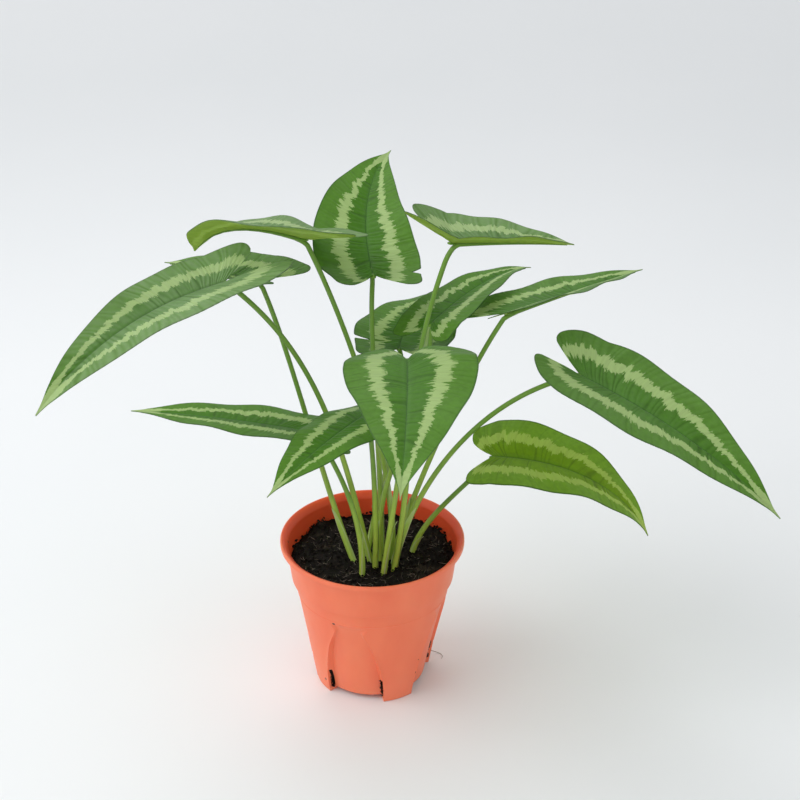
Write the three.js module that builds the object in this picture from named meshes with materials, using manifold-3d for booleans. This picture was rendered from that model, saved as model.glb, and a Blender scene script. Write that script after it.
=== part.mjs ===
// Potted Schismatoglottis wallichii: a moulded nursery pot, the soil that fills it and thirteen leaves.
// Millimetres, +Z up. The origin is the middle of the pot's underside, and the viewer stands at -Y.
import * as THREE from 'three';
import { mergeVertices } from 'three/addons/utils/BufferGeometryUtils.js';
import Module from 'manifold-3d';

const wasm = await Module();
wasm.setup();

// Pot
const POT_HEIGHT = 113.8;
const LIP_RADIUS = 65;
const LIP_DEPTH = 4;
const LIP_UNDERCUT = 0.6;
const COLLAR_TOP_RADIUS = 60.7;
const COLLAR_FOOT_RADIUS = 57.4;
const COLLAR_FOOT_HEIGHT = 84;
const BODY_TOP_RADIUS = 55.3;
const BODY_FOOT_RADIUS = 41;
const WALL = 1.2;
const FLOOR = 2;

// The four arched recesses round the foot of the pot, and the four feet left standing between them
const RECESS_COUNT = 4;
const RECESS_TURN = -108.5;
const RECESS_HALF_ANGLE = 28;
const RECESS_HEIGHT = 71;
const RECESS_DEPTH = 4.5;
const RECESS_LIFT = 4;
const RECESS_EDGE_ANGLE = 3;
const RECESS_WALL_ANGLE = 1;
const ARCH_TOP_HALF_ANGLE = 8;
const COLUMNS_SPREAD_FROM = 60;
const COLUMNS_SPREAD_TO = 83;
const HUB_RADIUS = 14;
const SPOKE_START_RADIUS = 18;
const SLOT_WIDTH = 1.8;
const SLOT_TOP = 21;
const SLOT_REACH = 9;
const SLOT_LEAN = 4;

// Soil
const SOIL_LEVEL = 97;
const SOIL_ROUGHNESS = 1.3;
const GAP = 0.3;
const GAP_ANGLE = 0.7;
const HOLE_CLEARANCE = 0.35;
const HOLE_BOTTOM = 78;
const STEM_BOTTOM = 80;

// Leaves
const BLADE_THICKNESS = 0.8;
const BLADE_ROWS = 17;
const HALF_COLUMNS = 4;
const STEM_SIDES = 8;
const STEM_STEPS = 13;
const STEM_FOOT_RADIUS = 2.9;
const STEM_TOP_RADIUS = 1.7;
const STEM_TAPER_END = 0.6;
const RIDGE_LENGTH = 0.34;
const RIDGE_END_RADIUS = 0.5;
const VEIN_CROWDING = 1.6;
const VEIN_ARCH = 0.09;
const TIP_END = 0.992;
const DROOP_POWER = 1.4;
const MARGIN_WAVES = 3.4;
const NICK_REACH = 5;
const NICK_OVERRUN = 1.4;
const CORNER_RUN = 0.07;
const CORNER_DEPTH = 0.22;

// Half outline of a flat blade. x runs in lobe reaches behind the sinus, then in blade lengths towards
// the tip; y runs in half widths.
const MAIN_OUTLINE = [[0.03, 1], [0.16, 0.985], [0.34, 0.87], [0.55, 0.65], [0.74, 0.385], [0.88, 0.145],
  [0.94, 0.045], [1, 0]];

const COLOURS = {
  pot: '#ee7f60',
  soil: '#1c1713',
  leaf: '#4f8a3c',
  youngLeaf: '#6f9e3d',
};

// One entry a leaf. seat is where the petiole meets the blade. heading turns from +X towards +Y, pitch is
// the midrib's slope at the seat, droop, sweep and twist are what it gains by the tip. fold lifts the left
// and right half from flat, cup bends each half down to its margin, lobeLift tilts the lobes behind the
// sinus. foot, rise and reach are the petiole's soil point and its two curve handles. nick is a tear in
// the margin: its side, its place from lobe to tip, its width along that and its depth, as shares.
// lobeSkew, where it is given, makes the left lobe longer and the right one shorter by that share.
const LEAVES = {
  leaf_left_long: {
    seat: [-94, -22, 322], heading: 230, pitch: 7, droop: 40, sweep: 3, roll: -4, twist: -14,
    length: 174, halfWidth: 30, lobe: 40, fold: [18, 19], cup: 2, lobeLift: 11,
    lobeSpread: 1.05, fullness: 0.85, lobeRound: 1.15, lopsided: 0.15,
    foot: [-1, -8], rise: [-20, -4, 190], reach: [-35, -10, 267],
  },
  leaf_left_back: {
    seat: [-78, 59, 286], heading: 159, pitch: 2, droop: 4, sweep: -2, roll: 2, twist: 5,
    length: 74, halfWidth: 27, lobe: 26, fold: [19, 19], cup: 6, lobeLift: 5,
    lobeSpread: 1.05, fullness: 1, lobeRound: 0.75, lopsided: -0.05, lobeSkew: -0.3,
    foot: [-13, -6], rise: [-35, 19, 145], reach: [-58, 56, 238],
  },
  leaf_left_top: {
    seat: [-45, 34, 328], heading: 165, pitch: 10, droop: 66, sweep: -25, roll: 8, twist: -12,
    length: 98, halfWidth: 44, lobe: 42, fold: [29, 1], cup: 12, lobeLift: 12,
    lobeSpread: 0.85, fullness: 0.8, lobeRound: 0.75, lopsided: 0.1,
    foot: [13, -5], rise: [21, 5, 176], reach: [-28, 26, 297],
  },
  leaf_left_low: {
    seat: [-39, -3, 200], heading: 163, pitch: 1, droop: 10, sweep: -3, roll: 11, twist: -13,
    length: 140, halfWidth: 32, lobe: 35, fold: [12, 7], cup: 13, lobeLift: -12,
    lobeSpread: 1, fullness: 0.95, lobeRound: 0.9, lopsided: 0,
    foot: [-7, -25], rise: [-5, -17, 142], reach: [-24, -9, 177],
  },
  leaf_top: {
    seat: [1, 56, 291], heading: 102, pitch: 20, droop: 18, sweep: -33, roll: 5, twist: 3,
    length: 156, halfWidth: 38, lobe: 34, fold: [15, 16], cup: 2, lobeLift: 24,
    lobeSpread: 1.3, fullness: 1.05, lobeRound: 0.6, lopsided: 0.1,
    foot: [6, 1], rise: [8, 16, 160], reach: [-3, 18, 260],
    nick: { side: -1, at: 0.125, width: 0.05, depth: 0.2 },
  },
  leaf_right_top: {
    seat: [54, 11, 335], heading: 7, pitch: -2, droop: 8, sweep: 5, roll: 3, twist: -5,
    length: 84, halfWidth: 30, lobe: 37, fold: [17, 36], cup: 9, lobeLift: 31,
    lobeSpread: 0.8, fullness: 0.9, lobeRound: 1, lopsided: 0, lobeSkew: -0.15,
    foot: [15, -19], rise: [33, -10, 196], reach: [18, -13, 244],
  },
  leaf_back_inner: {
    seat: [41, 40, 262], heading: 53, pitch: 12, droop: 31, sweep: -2, roll: -11, twist: 2,
    length: 123, halfWidth: 27, lobe: 19, fold: [14, 14], cup: 12, lobeLift: -16,
    lobeSpread: 1.2, fullness: 1, lobeRound: 1.2, lopsided: -0.05,
    foot: [6, -9], rise: [-5, -6, 160], reach: [42, 1, 221],
  },
  leaf_back_low: {
    seat: [19, 71, 227], heading: 84, pitch: 3, droop: 22, sweep: -26, roll: 4, twist: -34,
    length: 137, halfWidth: 38, lobe: 42, fold: [14, 21], cup: 1, lobeLift: 13,
    lobeSpread: 1.25, fullness: 1.2, lobeRound: 0.75, lopsided: -0.1,
    foot: [-4, 2], rise: [4, 17, 142], reach: [28, 45, 203],
    nick: { side: 1, at: 0.215, width: 0.035, depth: 0.44 },
  },
  leaf_right_back: {
    seat: [94, 42, 269], heading: 35, pitch: 1, droop: 5, sweep: 4, roll: -17, twist: 11,
    length: 127, halfWidth: 37, lobe: 31, fold: [10, 18], cup: 7, lobeLift: 0,
    lobeSpread: 0.95, fullness: 1, lobeRound: 0.75, lopsided: 0,
    foot: [15, 1], rise: [28, 4, 151], reach: [70, 26, 242],
  },
  leaf_right_large: {
    seat: [141, -3, 244], heading: -29, pitch: -15, droop: 25, sweep: 0, roll: -1, twist: 19,
    length: 166, halfWidth: 43, lobe: 32, fold: [17, 17], cup: 13, lobeLift: 10,
    lobeSpread: 0.75, fullness: 1.05, lobeRound: 0.75, lopsided: 0,
    foot: [15, -12], rise: [26, -4, 150], reach: [68, 5, 223],
  },
  leaf_right_low: {
    seat: [85, 11, 173], heading: -7, pitch: 0, droop: 66, sweep: -2, roll: 4, twist: 7,
    length: 132, halfWidth: 39, lobe: 19, fold: [13, 10], cup: 10, lobeLift: -19,
    lobeSpread: 1.15, fullness: 1, lobeRound: 0.95, lopsided: 0,
    foot: [28, 5], rise: [35, 12, 123], reach: [65, 11, 147], young: true,
  },
  leaf_front: {
    seat: [24, -60, 285], heading: 271, pitch: 0, droop: 25, sweep: -6, roll: 3, twist: -13,
    length: 139, halfWidth: 43, lobe: 31, fold: [10, 9], cup: 20, lobeLift: -15,
    lobeSpread: 0.55, fullness: 1.15, lobeRound: 0.8, lopsided: 0.05,
    foot: [8, -22], rise: [16, -20, 164], reach: [31, -26, 249],
  },
  leaf_front_small: {
    seat: [-2, -56, 244], heading: 239, pitch: 4, droop: 22, sweep: -5, roll: 12, twist: -11,
    length: 111, halfWidth: 34, lobe: 32, fold: [10, 5], cup: 19, lobeLift: -11,
    lobeSpread: 1, fullness: 1.15, lobeRound: 0.9, lopsided: 0,
    foot: [2, -16], rise: [4, -14, 153], reach: [0, -28, 221],
  },
};

const smoothStep = THREE.MathUtils.smoothstep;
const lerp = THREE.MathUtils.lerp;
const rad = THREE.MathUtils.degToRad;

// A closed skin: a point, then rings of equal count, then a point. leanBack picks the other diagonal.
function ringSolid(firstPoint, rings, lastPoint, leanBack = false) {
  const count = rings[0].length;
  const points = [firstPoint, ...rings.flat(), lastPoint];
  const last = points.length - 1;
  const index = [];
  for (let j = 0; j < count; j += 1) {
    const next = (j + 1) % count;
    index.push(0, 1 + next, 1 + j);
    for (let i = 0; i + 1 < rings.length; i += 1) {
      const low = 1 + i * count;
      const high = low + count;
      if (leanBack) index.push(low + j, low + next, high + j, low + next, high + next, high + j);
      else index.push(low + j, low + next, high + next, low + j, high + next, high + j);
    }
    const top = 1 + (rings.length - 1) * count;
    index.push(last, top + j, top + next);
  }
  return indexedGeometry(points, index);
}

function indexedGeometry(points, index) {
  const geometry = new THREE.BufferGeometry().setFromPoints(points);
  geometry.setIndex(index);
  return geometry;
}

function toManifold(geometry) {
  const merged = mergeVertices(geometry, 1e-4);
  const mesh = new wasm.Mesh({
    numProp: 3,
    vertProperties: new Float32Array(merged.attributes.position.array),
    triVerts: new Uint32Array(merged.index.array),
  });
  return new wasm.Manifold(mesh);
}

function fromManifold(solid) {
  const mesh = solid.getMesh();
  const geometry = new THREE.BufferGeometry();
  geometry.setAttribute('position', new THREE.BufferAttribute(mesh.vertProperties, 3));
  geometry.setIndex(new THREE.BufferAttribute(mesh.triVerts, 1));
  return geometry;
}

// Pot shape

function bodyRadius(z) {
  return lerp(BODY_FOOT_RADIUS, BODY_TOP_RADIUS, z / COLLAR_FOOT_HEIGHT);
}

function recessHalfAngle(z) {
  const t = Math.min(z / RECESS_HEIGHT, 1);
  const arch = RECESS_HALF_ANGLE * (1 - t ** 1.6) ** 0.6;
  return Math.max(arch, ARCH_TOP_HALF_ANGLE);
}

function recessDepth(z) {
  return RECESS_DEPTH * (1 - Math.min(z / RECESS_HEIGHT, 1) ** 2);
}

// Columns of one quarter turn: five across the recess, seven across the foot beside it.
const RECESS_COLUMNS = [-1, -0.5, 0, 0.5, 1];
const FOOT_COLUMNS = [0, 1 / 6, 1 / 3, 1 / 2, 2 / 3, 5 / 6, 1];
const QUARTER_COLUMNS = RECESS_COLUMNS.length + FOOT_COLUMNS.length;
const QUARTER = 360 / RECESS_COUNT;

function potColumns() {
  const columns = [];
  for (let recess = 0; recess < RECESS_COUNT; recess += 1) {
    const centre = RECESS_TURN + recess * QUARTER;
    RECESS_COLUMNS.forEach((across) => columns.push({ centre, across, sunk: true }));
    FOOT_COLUMNS.forEach((along) => columns.push({ centre, along, sunk: false }));
  }
  return columns;
}

function columnAngle(column, z, order, widen) {
  const half = recessHalfAngle(z) + widen;
  const edge = half + RECESS_EDGE_ANGLE;
  const shaped = column.sunk ? column.across * half : lerp(edge, QUARTER - edge, column.along);
  const place = order % QUARTER_COLUMNS;
  const even = (place - 2) * (QUARTER / QUARTER_COLUMNS);
  const spread = smoothStep(z, COLUMNS_SPREAD_FROM, COLUMNS_SPREAD_TO);
  return column.centre + lerp(shaped, even, spread);
}

// One ring round the pot. shape gives radius and height for a column; widen opens the recesses by an angle.
function potRing(angleHeight, shape, widen = 0) {
  return potColumns().map((column, order) => {
    const [radius, z] = shape(column.sunk);
    const angle = rad(columnAngle(column, angleHeight, order, widen));
    return new THREE.Vector3(radius * Math.cos(angle), radius * Math.sin(angle), z);
  });
}

// A ring on the wall at height z, set in by inset from the outer face.
function wallRing(z, inset, sunkFloor = RECESS_LIFT, widen = 0) {
  return potRing(z, (sunk) => {
    const height = sunk ? Math.max(z, sunkFloor) : z;
    return [bodyRadius(z) - (sunk ? recessDepth(z) : 0) - inset, height];
  }, widen);
}

function plainRing(radius, z) {
  return potRing(POT_HEIGHT, () => [radius, z]);
}

function floorRing(radius, sunkZ, footZ, widen = 0) {
  return potRing(0, (sunk) => [radius, sunk ? sunkZ : footZ], widen);
}

// The lip from its underside over its crest: how far in from its radius and down from its top.
const LIP_PROFILE = [[0.3, LIP_DEPTH], [0, 1], [0.6, 0], [3.1, 1.2], [3.6, 2.2]];

// Heights of the rings inside the pot, which the soil's skin shares.
const INNER_HEIGHTS = [72, 66, 50, 28];

function potSolid() {
  const outerHeights = [0, 14, 26, 38, 50, 60, 66, 73, COLLAR_FOOT_HEIGHT - 1.5];
  const collarInside = COLLAR_FOOT_RADIUS - WALL;
  const rings = [
    potRing(0, () => [HUB_RADIUS, 0]),
    floorRing(SPOKE_START_RADIUS, RECESS_LIFT, 0),
    ...outerHeights.map((z) => wallRing(z, 0)),
    plainRing(COLLAR_FOOT_RADIUS, COLLAR_FOOT_HEIGHT),
    plainRing(COLLAR_TOP_RADIUS, POT_HEIGHT - LIP_DEPTH - LIP_UNDERCUT),
    ...LIP_PROFILE.map(([inward, down]) => plainRing(LIP_RADIUS - inward, POT_HEIGHT - down)),
    plainRing(COLLAR_TOP_RADIUS - WALL, POT_HEIGHT - LIP_DEPTH - LIP_UNDERCUT),
    plainRing(collarInside, COLLAR_FOOT_HEIGHT + 1.2),
    wallRing(COLLAR_FOOT_HEIGHT - 1, WALL),
    ...INNER_HEIGHTS.map((z) => wallRing(z, WALL, RECESS_LIFT, RECESS_WALL_ANGLE)),
    wallRing(FLOOR, WALL, RECESS_LIFT + FLOOR, RECESS_WALL_ANGLE),
    floorRing(SPOKE_START_RADIUS, RECESS_LIFT + FLOOR, FLOOR, RECESS_WALL_ANGLE),
    potRing(0, () => [HUB_RADIUS, FLOOR]),
  ];
  return toManifold(ringSolid(new THREE.Vector3(0, 0, 0), rings, new THREE.Vector3(0, 0, FLOOR)));
}

// Drain slots: a thin slit up both edges of each recess, open at the bottom.
function slotCutters() {
  const cutters = [];
  const foot = RECESS_LIFT - 1;
  const middle = (foot + SLOT_TOP) / 2;
  const edge = recessHalfAngle(middle) + RECESS_EDGE_ANGLE * 0.4;
  for (let recess = 0; recess < RECESS_COUNT; recess += 1) {
    [-edge, edge].forEach((turn) => {
      const angle = rad(RECESS_TURN + recess * QUARTER + turn);
      const radius = bodyRadius(middle) - RECESS_DEPTH / 2 - WALL / 2;
      const box = new THREE.BoxGeometry(SLOT_REACH, SLOT_WIDTH, SLOT_TOP - foot);
      box.deleteAttribute('normal');
      box.deleteAttribute('uv');
      box.rotateX(rad(Math.sign(turn) * SLOT_LEAN));
      box.rotateZ(angle);
      box.translate(radius * Math.cos(angle), radius * Math.sin(angle), middle);
      cutters.push(toManifold(box));
    });
  }
  return cutters;
}

function makePot() {
  return slotCutters().reduce((solid, cutter) => solid.subtract(cutter), potSolid());
}

// Soil

function seededRandom(seed) {
  let state = seed;
  return () => {
    state = (state * 1664525 + 1013904223) % 4294967296;
    return state / 4294967296;
  };
}

function soilBody() {
  const random = seededRandom(7);
  const inset = WALL + GAP;
  const bottom = FLOOR + GAP;
  const widen = RECESS_WALL_ANGLE + GAP_ANGLE;
  const floorLift = RECESS_LIFT + FLOOR + GAP;
  const collarFace = (z) => lerp(COLLAR_FOOT_RADIUS, COLLAR_TOP_RADIUS,
    (z - COLLAR_FOOT_HEIGHT) / (POT_HEIGHT - LIP_DEPTH - COLLAR_FOOT_HEIGHT)) - inset;
  const rough = (radius, level) => potRing(POT_HEIGHT, () => [
    radius, level + (random() - 0.5) * 2 * SOIL_ROUGHNESS]);
  const rings = [
    potRing(0, () => [HUB_RADIUS, bottom]),
    floorRing(SPOKE_START_RADIUS - 0.5, floorLift, bottom, widen),
    wallRing(bottom, inset, floorLift, widen),
    ...INNER_HEIGHTS.toReversed().map((z) => wallRing(z, inset, RECESS_LIFT, widen)),
    wallRing(COLLAR_FOOT_HEIGHT - 1.2, inset),
    rough(collarFace(SOIL_LEVEL) - 0.1, SOIL_LEVEL),
    rough(48, SOIL_LEVEL),
    rough(38, SOIL_LEVEL + 0.6),
    rough(24, SOIL_LEVEL + 1),
  ];
  const foot = new THREE.Vector3(0, 0, bottom);
  return toManifold(ringSolid(foot, rings, new THREE.Vector3(0, 0, SOIL_LEVEL + 1), true));
}

function makeSoil() {
  const holes = Object.values(LEAVES).map((leaf) => toManifold(stemHole(leaf)));
  return holes.reduce((solid, hole) => solid.subtract(hole), soilBody());
}

// Leaves

function midrib(leaf) {
  const steps = 40;
  const at = (share) => {
    const pitch = rad(leaf.pitch - leaf.droop * share ** DROOP_POWER);
    const heading = rad(leaf.heading + leaf.sweep * share);
    return new THREE.Vector3(Math.cos(pitch) * Math.cos(heading),
      Math.cos(pitch) * Math.sin(heading), Math.sin(pitch));
  };
  const points = [new THREE.Vector3(...leaf.seat)];
  for (let i = 1; i <= steps; i += 1) {
    const along = at((i - 1) / steps).add(at(i / steps)).multiplyScalar(leaf.length / steps / 2);
    points.push(points[i - 1].clone().add(along));
  }
  return { points, steps, at };
}

// The midrib's point, its left-hand direction and its upward normal, at a distance from the sinus.
function midribFrame(leaf, line, distance) {
  const share = THREE.MathUtils.clamp(distance / leaf.length, 0, 1);
  const place = share * line.steps;
  const i = Math.min(Math.floor(place), line.steps - 1);
  const point = line.points[i].clone().lerp(line.points[i + 1], place - i);
  const tangent = line.at(share);
  const heading = rad(leaf.heading + leaf.sweep * share);
  const level = new THREE.Vector3(-Math.sin(heading), Math.cos(heading), 0);
  const turn = rad(leaf.roll + leaf.twist * share);
  const left = level.clone().applyAxisAngle(tangent, turn);
  const normal = tangent.clone().cross(left);
  if (distance < 0) {
    const lift = rad(leaf.lobeLift);
    point.addScaledVector(tangent, distance * Math.cos(lift));
    point.addScaledVector(normal, -distance * Math.sin(lift));
  }
  return { point, tangent, left, normal };
}

// How far out a row reaches, so that the lobes end in a rounded corner.
function roundedCorner(u) {
  const before = Math.max(1 - u / CORNER_RUN, 0);
  return 1 - CORNER_DEPTH * (1 - Math.sqrt(1 - before ** 2));
}

// A blade as a surface: u runs from the sinus edge to the tip, v from the right margin to the left one.
function bladeSurface(leaf, seed) {
  const line = midrib(leaf);
  const random = seededRandom(seed);
  const phases = [random() * 6.28, random() * 6.28];
  const halves = [1, -1].map((side, order) => {
    const width = leaf.halfWidth * (1 + side * leaf.lopsided);
    const lobe = leaf.lobe * (1 + side * (leaf.lobeSkew ?? 0));
    const points = [
      [-lobe, 0.5 * leaf.lobeSpread],
      [-0.9 * lobe, 0.5 * leaf.lobeSpread + 0.24 * leaf.lobeRound],
      [-0.5 * lobe, 0.76 + 0.17 * leaf.lobeRound],
      ...MAIN_OUTLINE.map(([x, y]) => [x * leaf.length, y ** leaf.fullness]),
    ];
    const outline = new THREE.SplineCurve(points.map(([x, y]) => new THREE.Vector2(x, y * width)));
    return { side, width, outline, fold: rad(leaf.fold[order]), phase: phases[order] };
  });
  return (u, v) => {
    const half = v >= 0 ? halves[0] : halves[1];
    const out = Math.abs(v) * roundedCorner(u);
    const start = new THREE.Vector2(leaf.length * u ** VEIN_CROWDING, 0);
    const end = half.outline.getPointAt(u);
    const bow = start.clone().lerp(end, 0.5);
    bow.x -= VEIN_ARCH * start.distanceTo(end) * 2;
    const flat = new THREE.QuadraticBezierCurve(start, bow, end).getPoint(out);
    const frame = midribFrame(leaf, line, flat.x);
    const bend = rad(Math.max(leaf.cup, 0.1)) / half.width;
    const angle = half.fold - bend * flat.y;
    const across = (Math.sin(half.fold) - Math.sin(angle)) / bend;
    const wave = leaf.halfWidth * 0.03 * out ** 2 * Math.sin(MARGIN_WAVES * 2 * Math.PI * u + half.phase);
    const rise = (Math.cos(angle) - Math.cos(half.fold)) / bend + wave * Math.sin(Math.PI * u);
    return frame.point.addScaledVector(frame.left, half.side * across).addScaledVector(frame.normal, rise);
  };
}

// Both faces are split along the same diagonals.
function bladeGeometry(surface) {
  const columns = 2 * HALF_COLUMNS + 1;
  const middle = [];
  for (let i = 0; i < BLADE_ROWS; i += 1) {
    for (let j = 0; j < columns; j += 1) {
      middle.push(surface(TIP_END * i / (BLADE_ROWS - 1), 1 - j / HALF_COLUMNS));
    }
  }
  const faces = [];
  for (let i = 0; i + 1 < BLADE_ROWS; i += 1) {
    for (let j = 0; j + 1 < columns; j += 1) {
      const a = i * columns + j;
      const b = a + columns;
      if (j < HALF_COLUMNS) faces.push([a, a + 1, b + 1], [a, b + 1, b]);
      else faces.push([a, a + 1, b], [a + 1, b + 1, b]);
    }
  }
  const sheet = indexedGeometry(middle, faces.flat());
  sheet.computeVertexNormals();
  const normals = sheet.attributes.normal;
  const shifted = (sign) => middle.map((point, k) => point.clone().addScaledVector(
    new THREE.Vector3().fromBufferAttribute(normals, k), sign * BLADE_THICKNESS / 2));
  const total = middle.length;
  const index = faces.flatMap(([a, b, c]) => [a, b, c, total + a, total + c, total + b]);
  const rim = rimLoop(BLADE_ROWS, columns);
  rim.forEach((a, k) => {
    const b = rim[(k + 1) % rim.length];
    index.push(b, a, total + a, b, total + a, total + b);
  });
  return indexedGeometry([...shifted(1), ...shifted(-1)], index);
}

function rimLoop(rows, columns) {
  const loop = [];
  for (let j = 0; j < columns - 1; j += 1) loop.push(j);
  for (let i = 0; i < rows - 1; i += 1) loop.push(i * columns + columns - 1);
  for (let j = columns - 1; j > 0; j -= 1) loop.push((rows - 1) * columns + j);
  for (let i = rows - 1; i > 0; i -= 1) loop.push(i * columns);
  return loop;
}

function petioleCurve(leaf) {
  const foot = new THREE.Vector3(...leaf.foot, SOIL_LEVEL);
  const seat = new THREE.Vector3(...leaf.seat);
  return new THREE.CubicBezierCurve3(foot, new THREE.Vector3(...leaf.rise),
    new THREE.Vector3(...leaf.reach), seat);
}

function stemRadius(share) {
  return lerp(STEM_FOOT_RADIUS, STEM_TOP_RADIUS, Math.min(share / STEM_TAPER_END, 1));
}

// The point straight below the foot where the petiole ends in the soil.
function buriedPoint(leaf, z) {
  return new THREE.Vector3(...leaf.foot, z);
}

// Centres and radii of the petiole, and of the rib that it becomes under the blade.
function petioleStations(leaf) {
  const curve = petioleCurve(leaf);
  const line = midrib(leaf);
  const stations = [{ point: buriedPoint(leaf, STEM_BOTTOM), radius: STEM_FOOT_RADIUS }];
  for (let i = 0; i < STEM_STEPS; i += 1) {
    const share = i / STEM_STEPS;
    stations.push({ point: curve.getPoint(share), radius: stemRadius(share) });
  }
  [0.02, 0.12, RIDGE_LENGTH].forEach((share) => {
    const frame = midribFrame(leaf, line, share * leaf.length);
    const radius = lerp(STEM_TOP_RADIUS, RIDGE_END_RADIUS, share / RIDGE_LENGTH);
    stations.push({ point: frame.point.addScaledVector(frame.normal, -radius), radius });
  });
  return stations;
}

// A round bar through stations, its rings carried along without twisting.
function barGeometry(stations) {
  const side = new THREE.Vector3(1, 0, 0);
  const rings = stations.map(({ point, radius }, i) => {
    const before = stations[Math.max(i - 1, 0)].point;
    const after = stations[Math.min(i + 1, stations.length - 1)].point;
    const axis = after.clone().sub(before).normalize();
    side.addScaledVector(axis, -side.dot(axis)).normalize();
    const other = axis.clone().cross(side);
    return Array.from({ length: STEM_SIDES }, (_, k) => {
      const angle = (k / STEM_SIDES) * 2 * Math.PI;
      return point.clone().addScaledVector(side, radius * Math.cos(angle))
        .addScaledVector(other, radius * Math.sin(angle));
    });
  });
  return ringSolid(stations[0].point, rings, stations.at(-1).point);
}

// The hole that a petiole stands in follows it from below its end to above the soil.
function stemHole(leaf) {
  const curve = petioleCurve(leaf);
  const radius = STEM_FOOT_RADIUS + HOLE_CLEARANCE;
  const over = curve.getPoint(1 / STEM_STEPS);
  return barGeometry([
    { point: buriedPoint(leaf, HOLE_BOTTOM), radius },
    { point: curve.getPoint(0), radius },
    { point: over, radius },
  ]);
}

// A wedge that runs from the tear's inner end out past the margin, and through the blade.
function nickCutter(surface, nick) {
  const inner = surface(nick.at, nick.side * (1 - nick.depth));
  const corners = [inner, ...[-0.5, 0.5].map((share) => {
    const edge = surface(nick.at + share * nick.width, nick.side);
    return inner.clone().lerp(edge, NICK_OVERRUN);
  })];
  const normal = corners[1].clone().sub(inner).cross(corners[2].clone().sub(inner)).normalize();
  const points = [NICK_REACH, -NICK_REACH].flatMap((reach) => corners.map(
    (corner) => corner.clone().addScaledVector(normal, reach)));
  const sides = [[0, 1], [1, 2], [2, 0]].flatMap(([a, b]) => [a + 3, b + 3, b, a + 3, b, a]);
  return toManifold(indexedGeometry(points, [0, 1, 2, 3, 5, 4, ...sides]));
}

function makeLeaf(leaf, seed) {
  const surface = bladeSurface(leaf, seed);
  let blade = toManifold(bladeGeometry(surface));
  if (leaf.nick) blade = blade.subtract(nickCutter(surface, leaf.nick));
  const petiole = toManifold(barGeometry(petioleStations(leaf)));
  return blade.add(petiole);
}

function addPart(group, name, solid, colour, roughness) {
  const material = new THREE.MeshStandardMaterial({ color: colour, roughness, metalness: 0 });
  const mesh = new THREE.Mesh(fromManifold(solid), material);
  mesh.name = name;
  group.add(mesh);
}

const plant = new THREE.Group();
addPart(plant, 'pot', makePot(), COLOURS.pot, 0.45);
addPart(plant, 'soil', makeSoil(), COLOURS.soil, 0.95);
Object.entries(LEAVES).forEach(([name, leaf], order) => {
  addPart(plant, name, makeLeaf(leaf, order + 1), leaf.young ? COLOURS.youngLeaf : COLOURS.leaf, 0.5);
});

export default plant;
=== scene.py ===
"""A potted schismatoglottis: thirteen long, heart-shaped leaves in a terracotta-coloured nursery
pot. Shapes are worked out in millimetres, and each piece is brought to metres when it is done."""
import math
import random

import bmesh
import bpy
from mathutils import Matrix, Quaternion, Vector, noise


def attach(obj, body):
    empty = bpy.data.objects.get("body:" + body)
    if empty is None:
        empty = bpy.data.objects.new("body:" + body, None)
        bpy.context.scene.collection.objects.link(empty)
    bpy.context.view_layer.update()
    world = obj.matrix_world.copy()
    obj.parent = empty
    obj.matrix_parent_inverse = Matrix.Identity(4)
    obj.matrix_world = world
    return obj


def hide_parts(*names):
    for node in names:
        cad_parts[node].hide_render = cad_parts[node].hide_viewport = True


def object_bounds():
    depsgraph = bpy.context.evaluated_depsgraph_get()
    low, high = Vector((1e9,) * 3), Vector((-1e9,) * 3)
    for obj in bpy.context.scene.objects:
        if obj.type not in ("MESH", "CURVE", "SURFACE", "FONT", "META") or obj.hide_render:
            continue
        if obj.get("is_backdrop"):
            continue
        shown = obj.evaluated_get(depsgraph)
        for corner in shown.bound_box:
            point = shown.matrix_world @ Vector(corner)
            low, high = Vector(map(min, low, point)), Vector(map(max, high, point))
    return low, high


bl_info = {
    "name": "Potted schismatoglottis",
    "version": (1, 0, 0),
    "blender": (4, 5, 0),
    "location": "View3D > Sidebar > Plant",
    "description": "Dresses the packed plant with moulded pot, peat, petioles and banded leaves",
    "category": "Add Mesh",
}

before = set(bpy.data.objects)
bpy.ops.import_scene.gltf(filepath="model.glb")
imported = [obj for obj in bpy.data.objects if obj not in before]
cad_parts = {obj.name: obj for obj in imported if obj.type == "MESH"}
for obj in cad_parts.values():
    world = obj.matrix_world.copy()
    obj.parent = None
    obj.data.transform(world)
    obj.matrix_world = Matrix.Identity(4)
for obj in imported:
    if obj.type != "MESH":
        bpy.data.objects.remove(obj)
CAD_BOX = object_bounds()
MM = 0.001


def linear(text):
    """A colour written as sRGB hex, as the linear red, green, blue and alpha that shaders take."""
    parts = [int(text[i:i + 2], 16) / 255 for i in (1, 3, 5)]
    return (*(c / 12.92 if c <= 0.04045 else ((c + 0.055) / 1.055) ** 2.4 for c in parts), 1.0)


def length(name, description, millimetres):
    """A length that the user may change, given in millimetres and kept in metres."""
    return bpy.props.FloatProperty(
        name=name, description=description, default=millimetres * MM, min=0.0, unit="LENGTH",
        precision=4)


def colour(name, description, text):
    """A colour that the user may change, given as sRGB hex."""
    return bpy.props.FloatVectorProperty(
        name=name, description=description, default=linear(text), size=4, min=0.0, max=1.0,
        subtype="COLOR")


def share(name, description, value):
    """A share between nought and one that the user may change."""
    return bpy.props.FloatProperty(
        name=name, description=description, default=value, min=0.0, max=1.0, subtype="FACTOR")


# Where a default below is a size of the pot or the plant, the solids are made from the same one.


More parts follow.
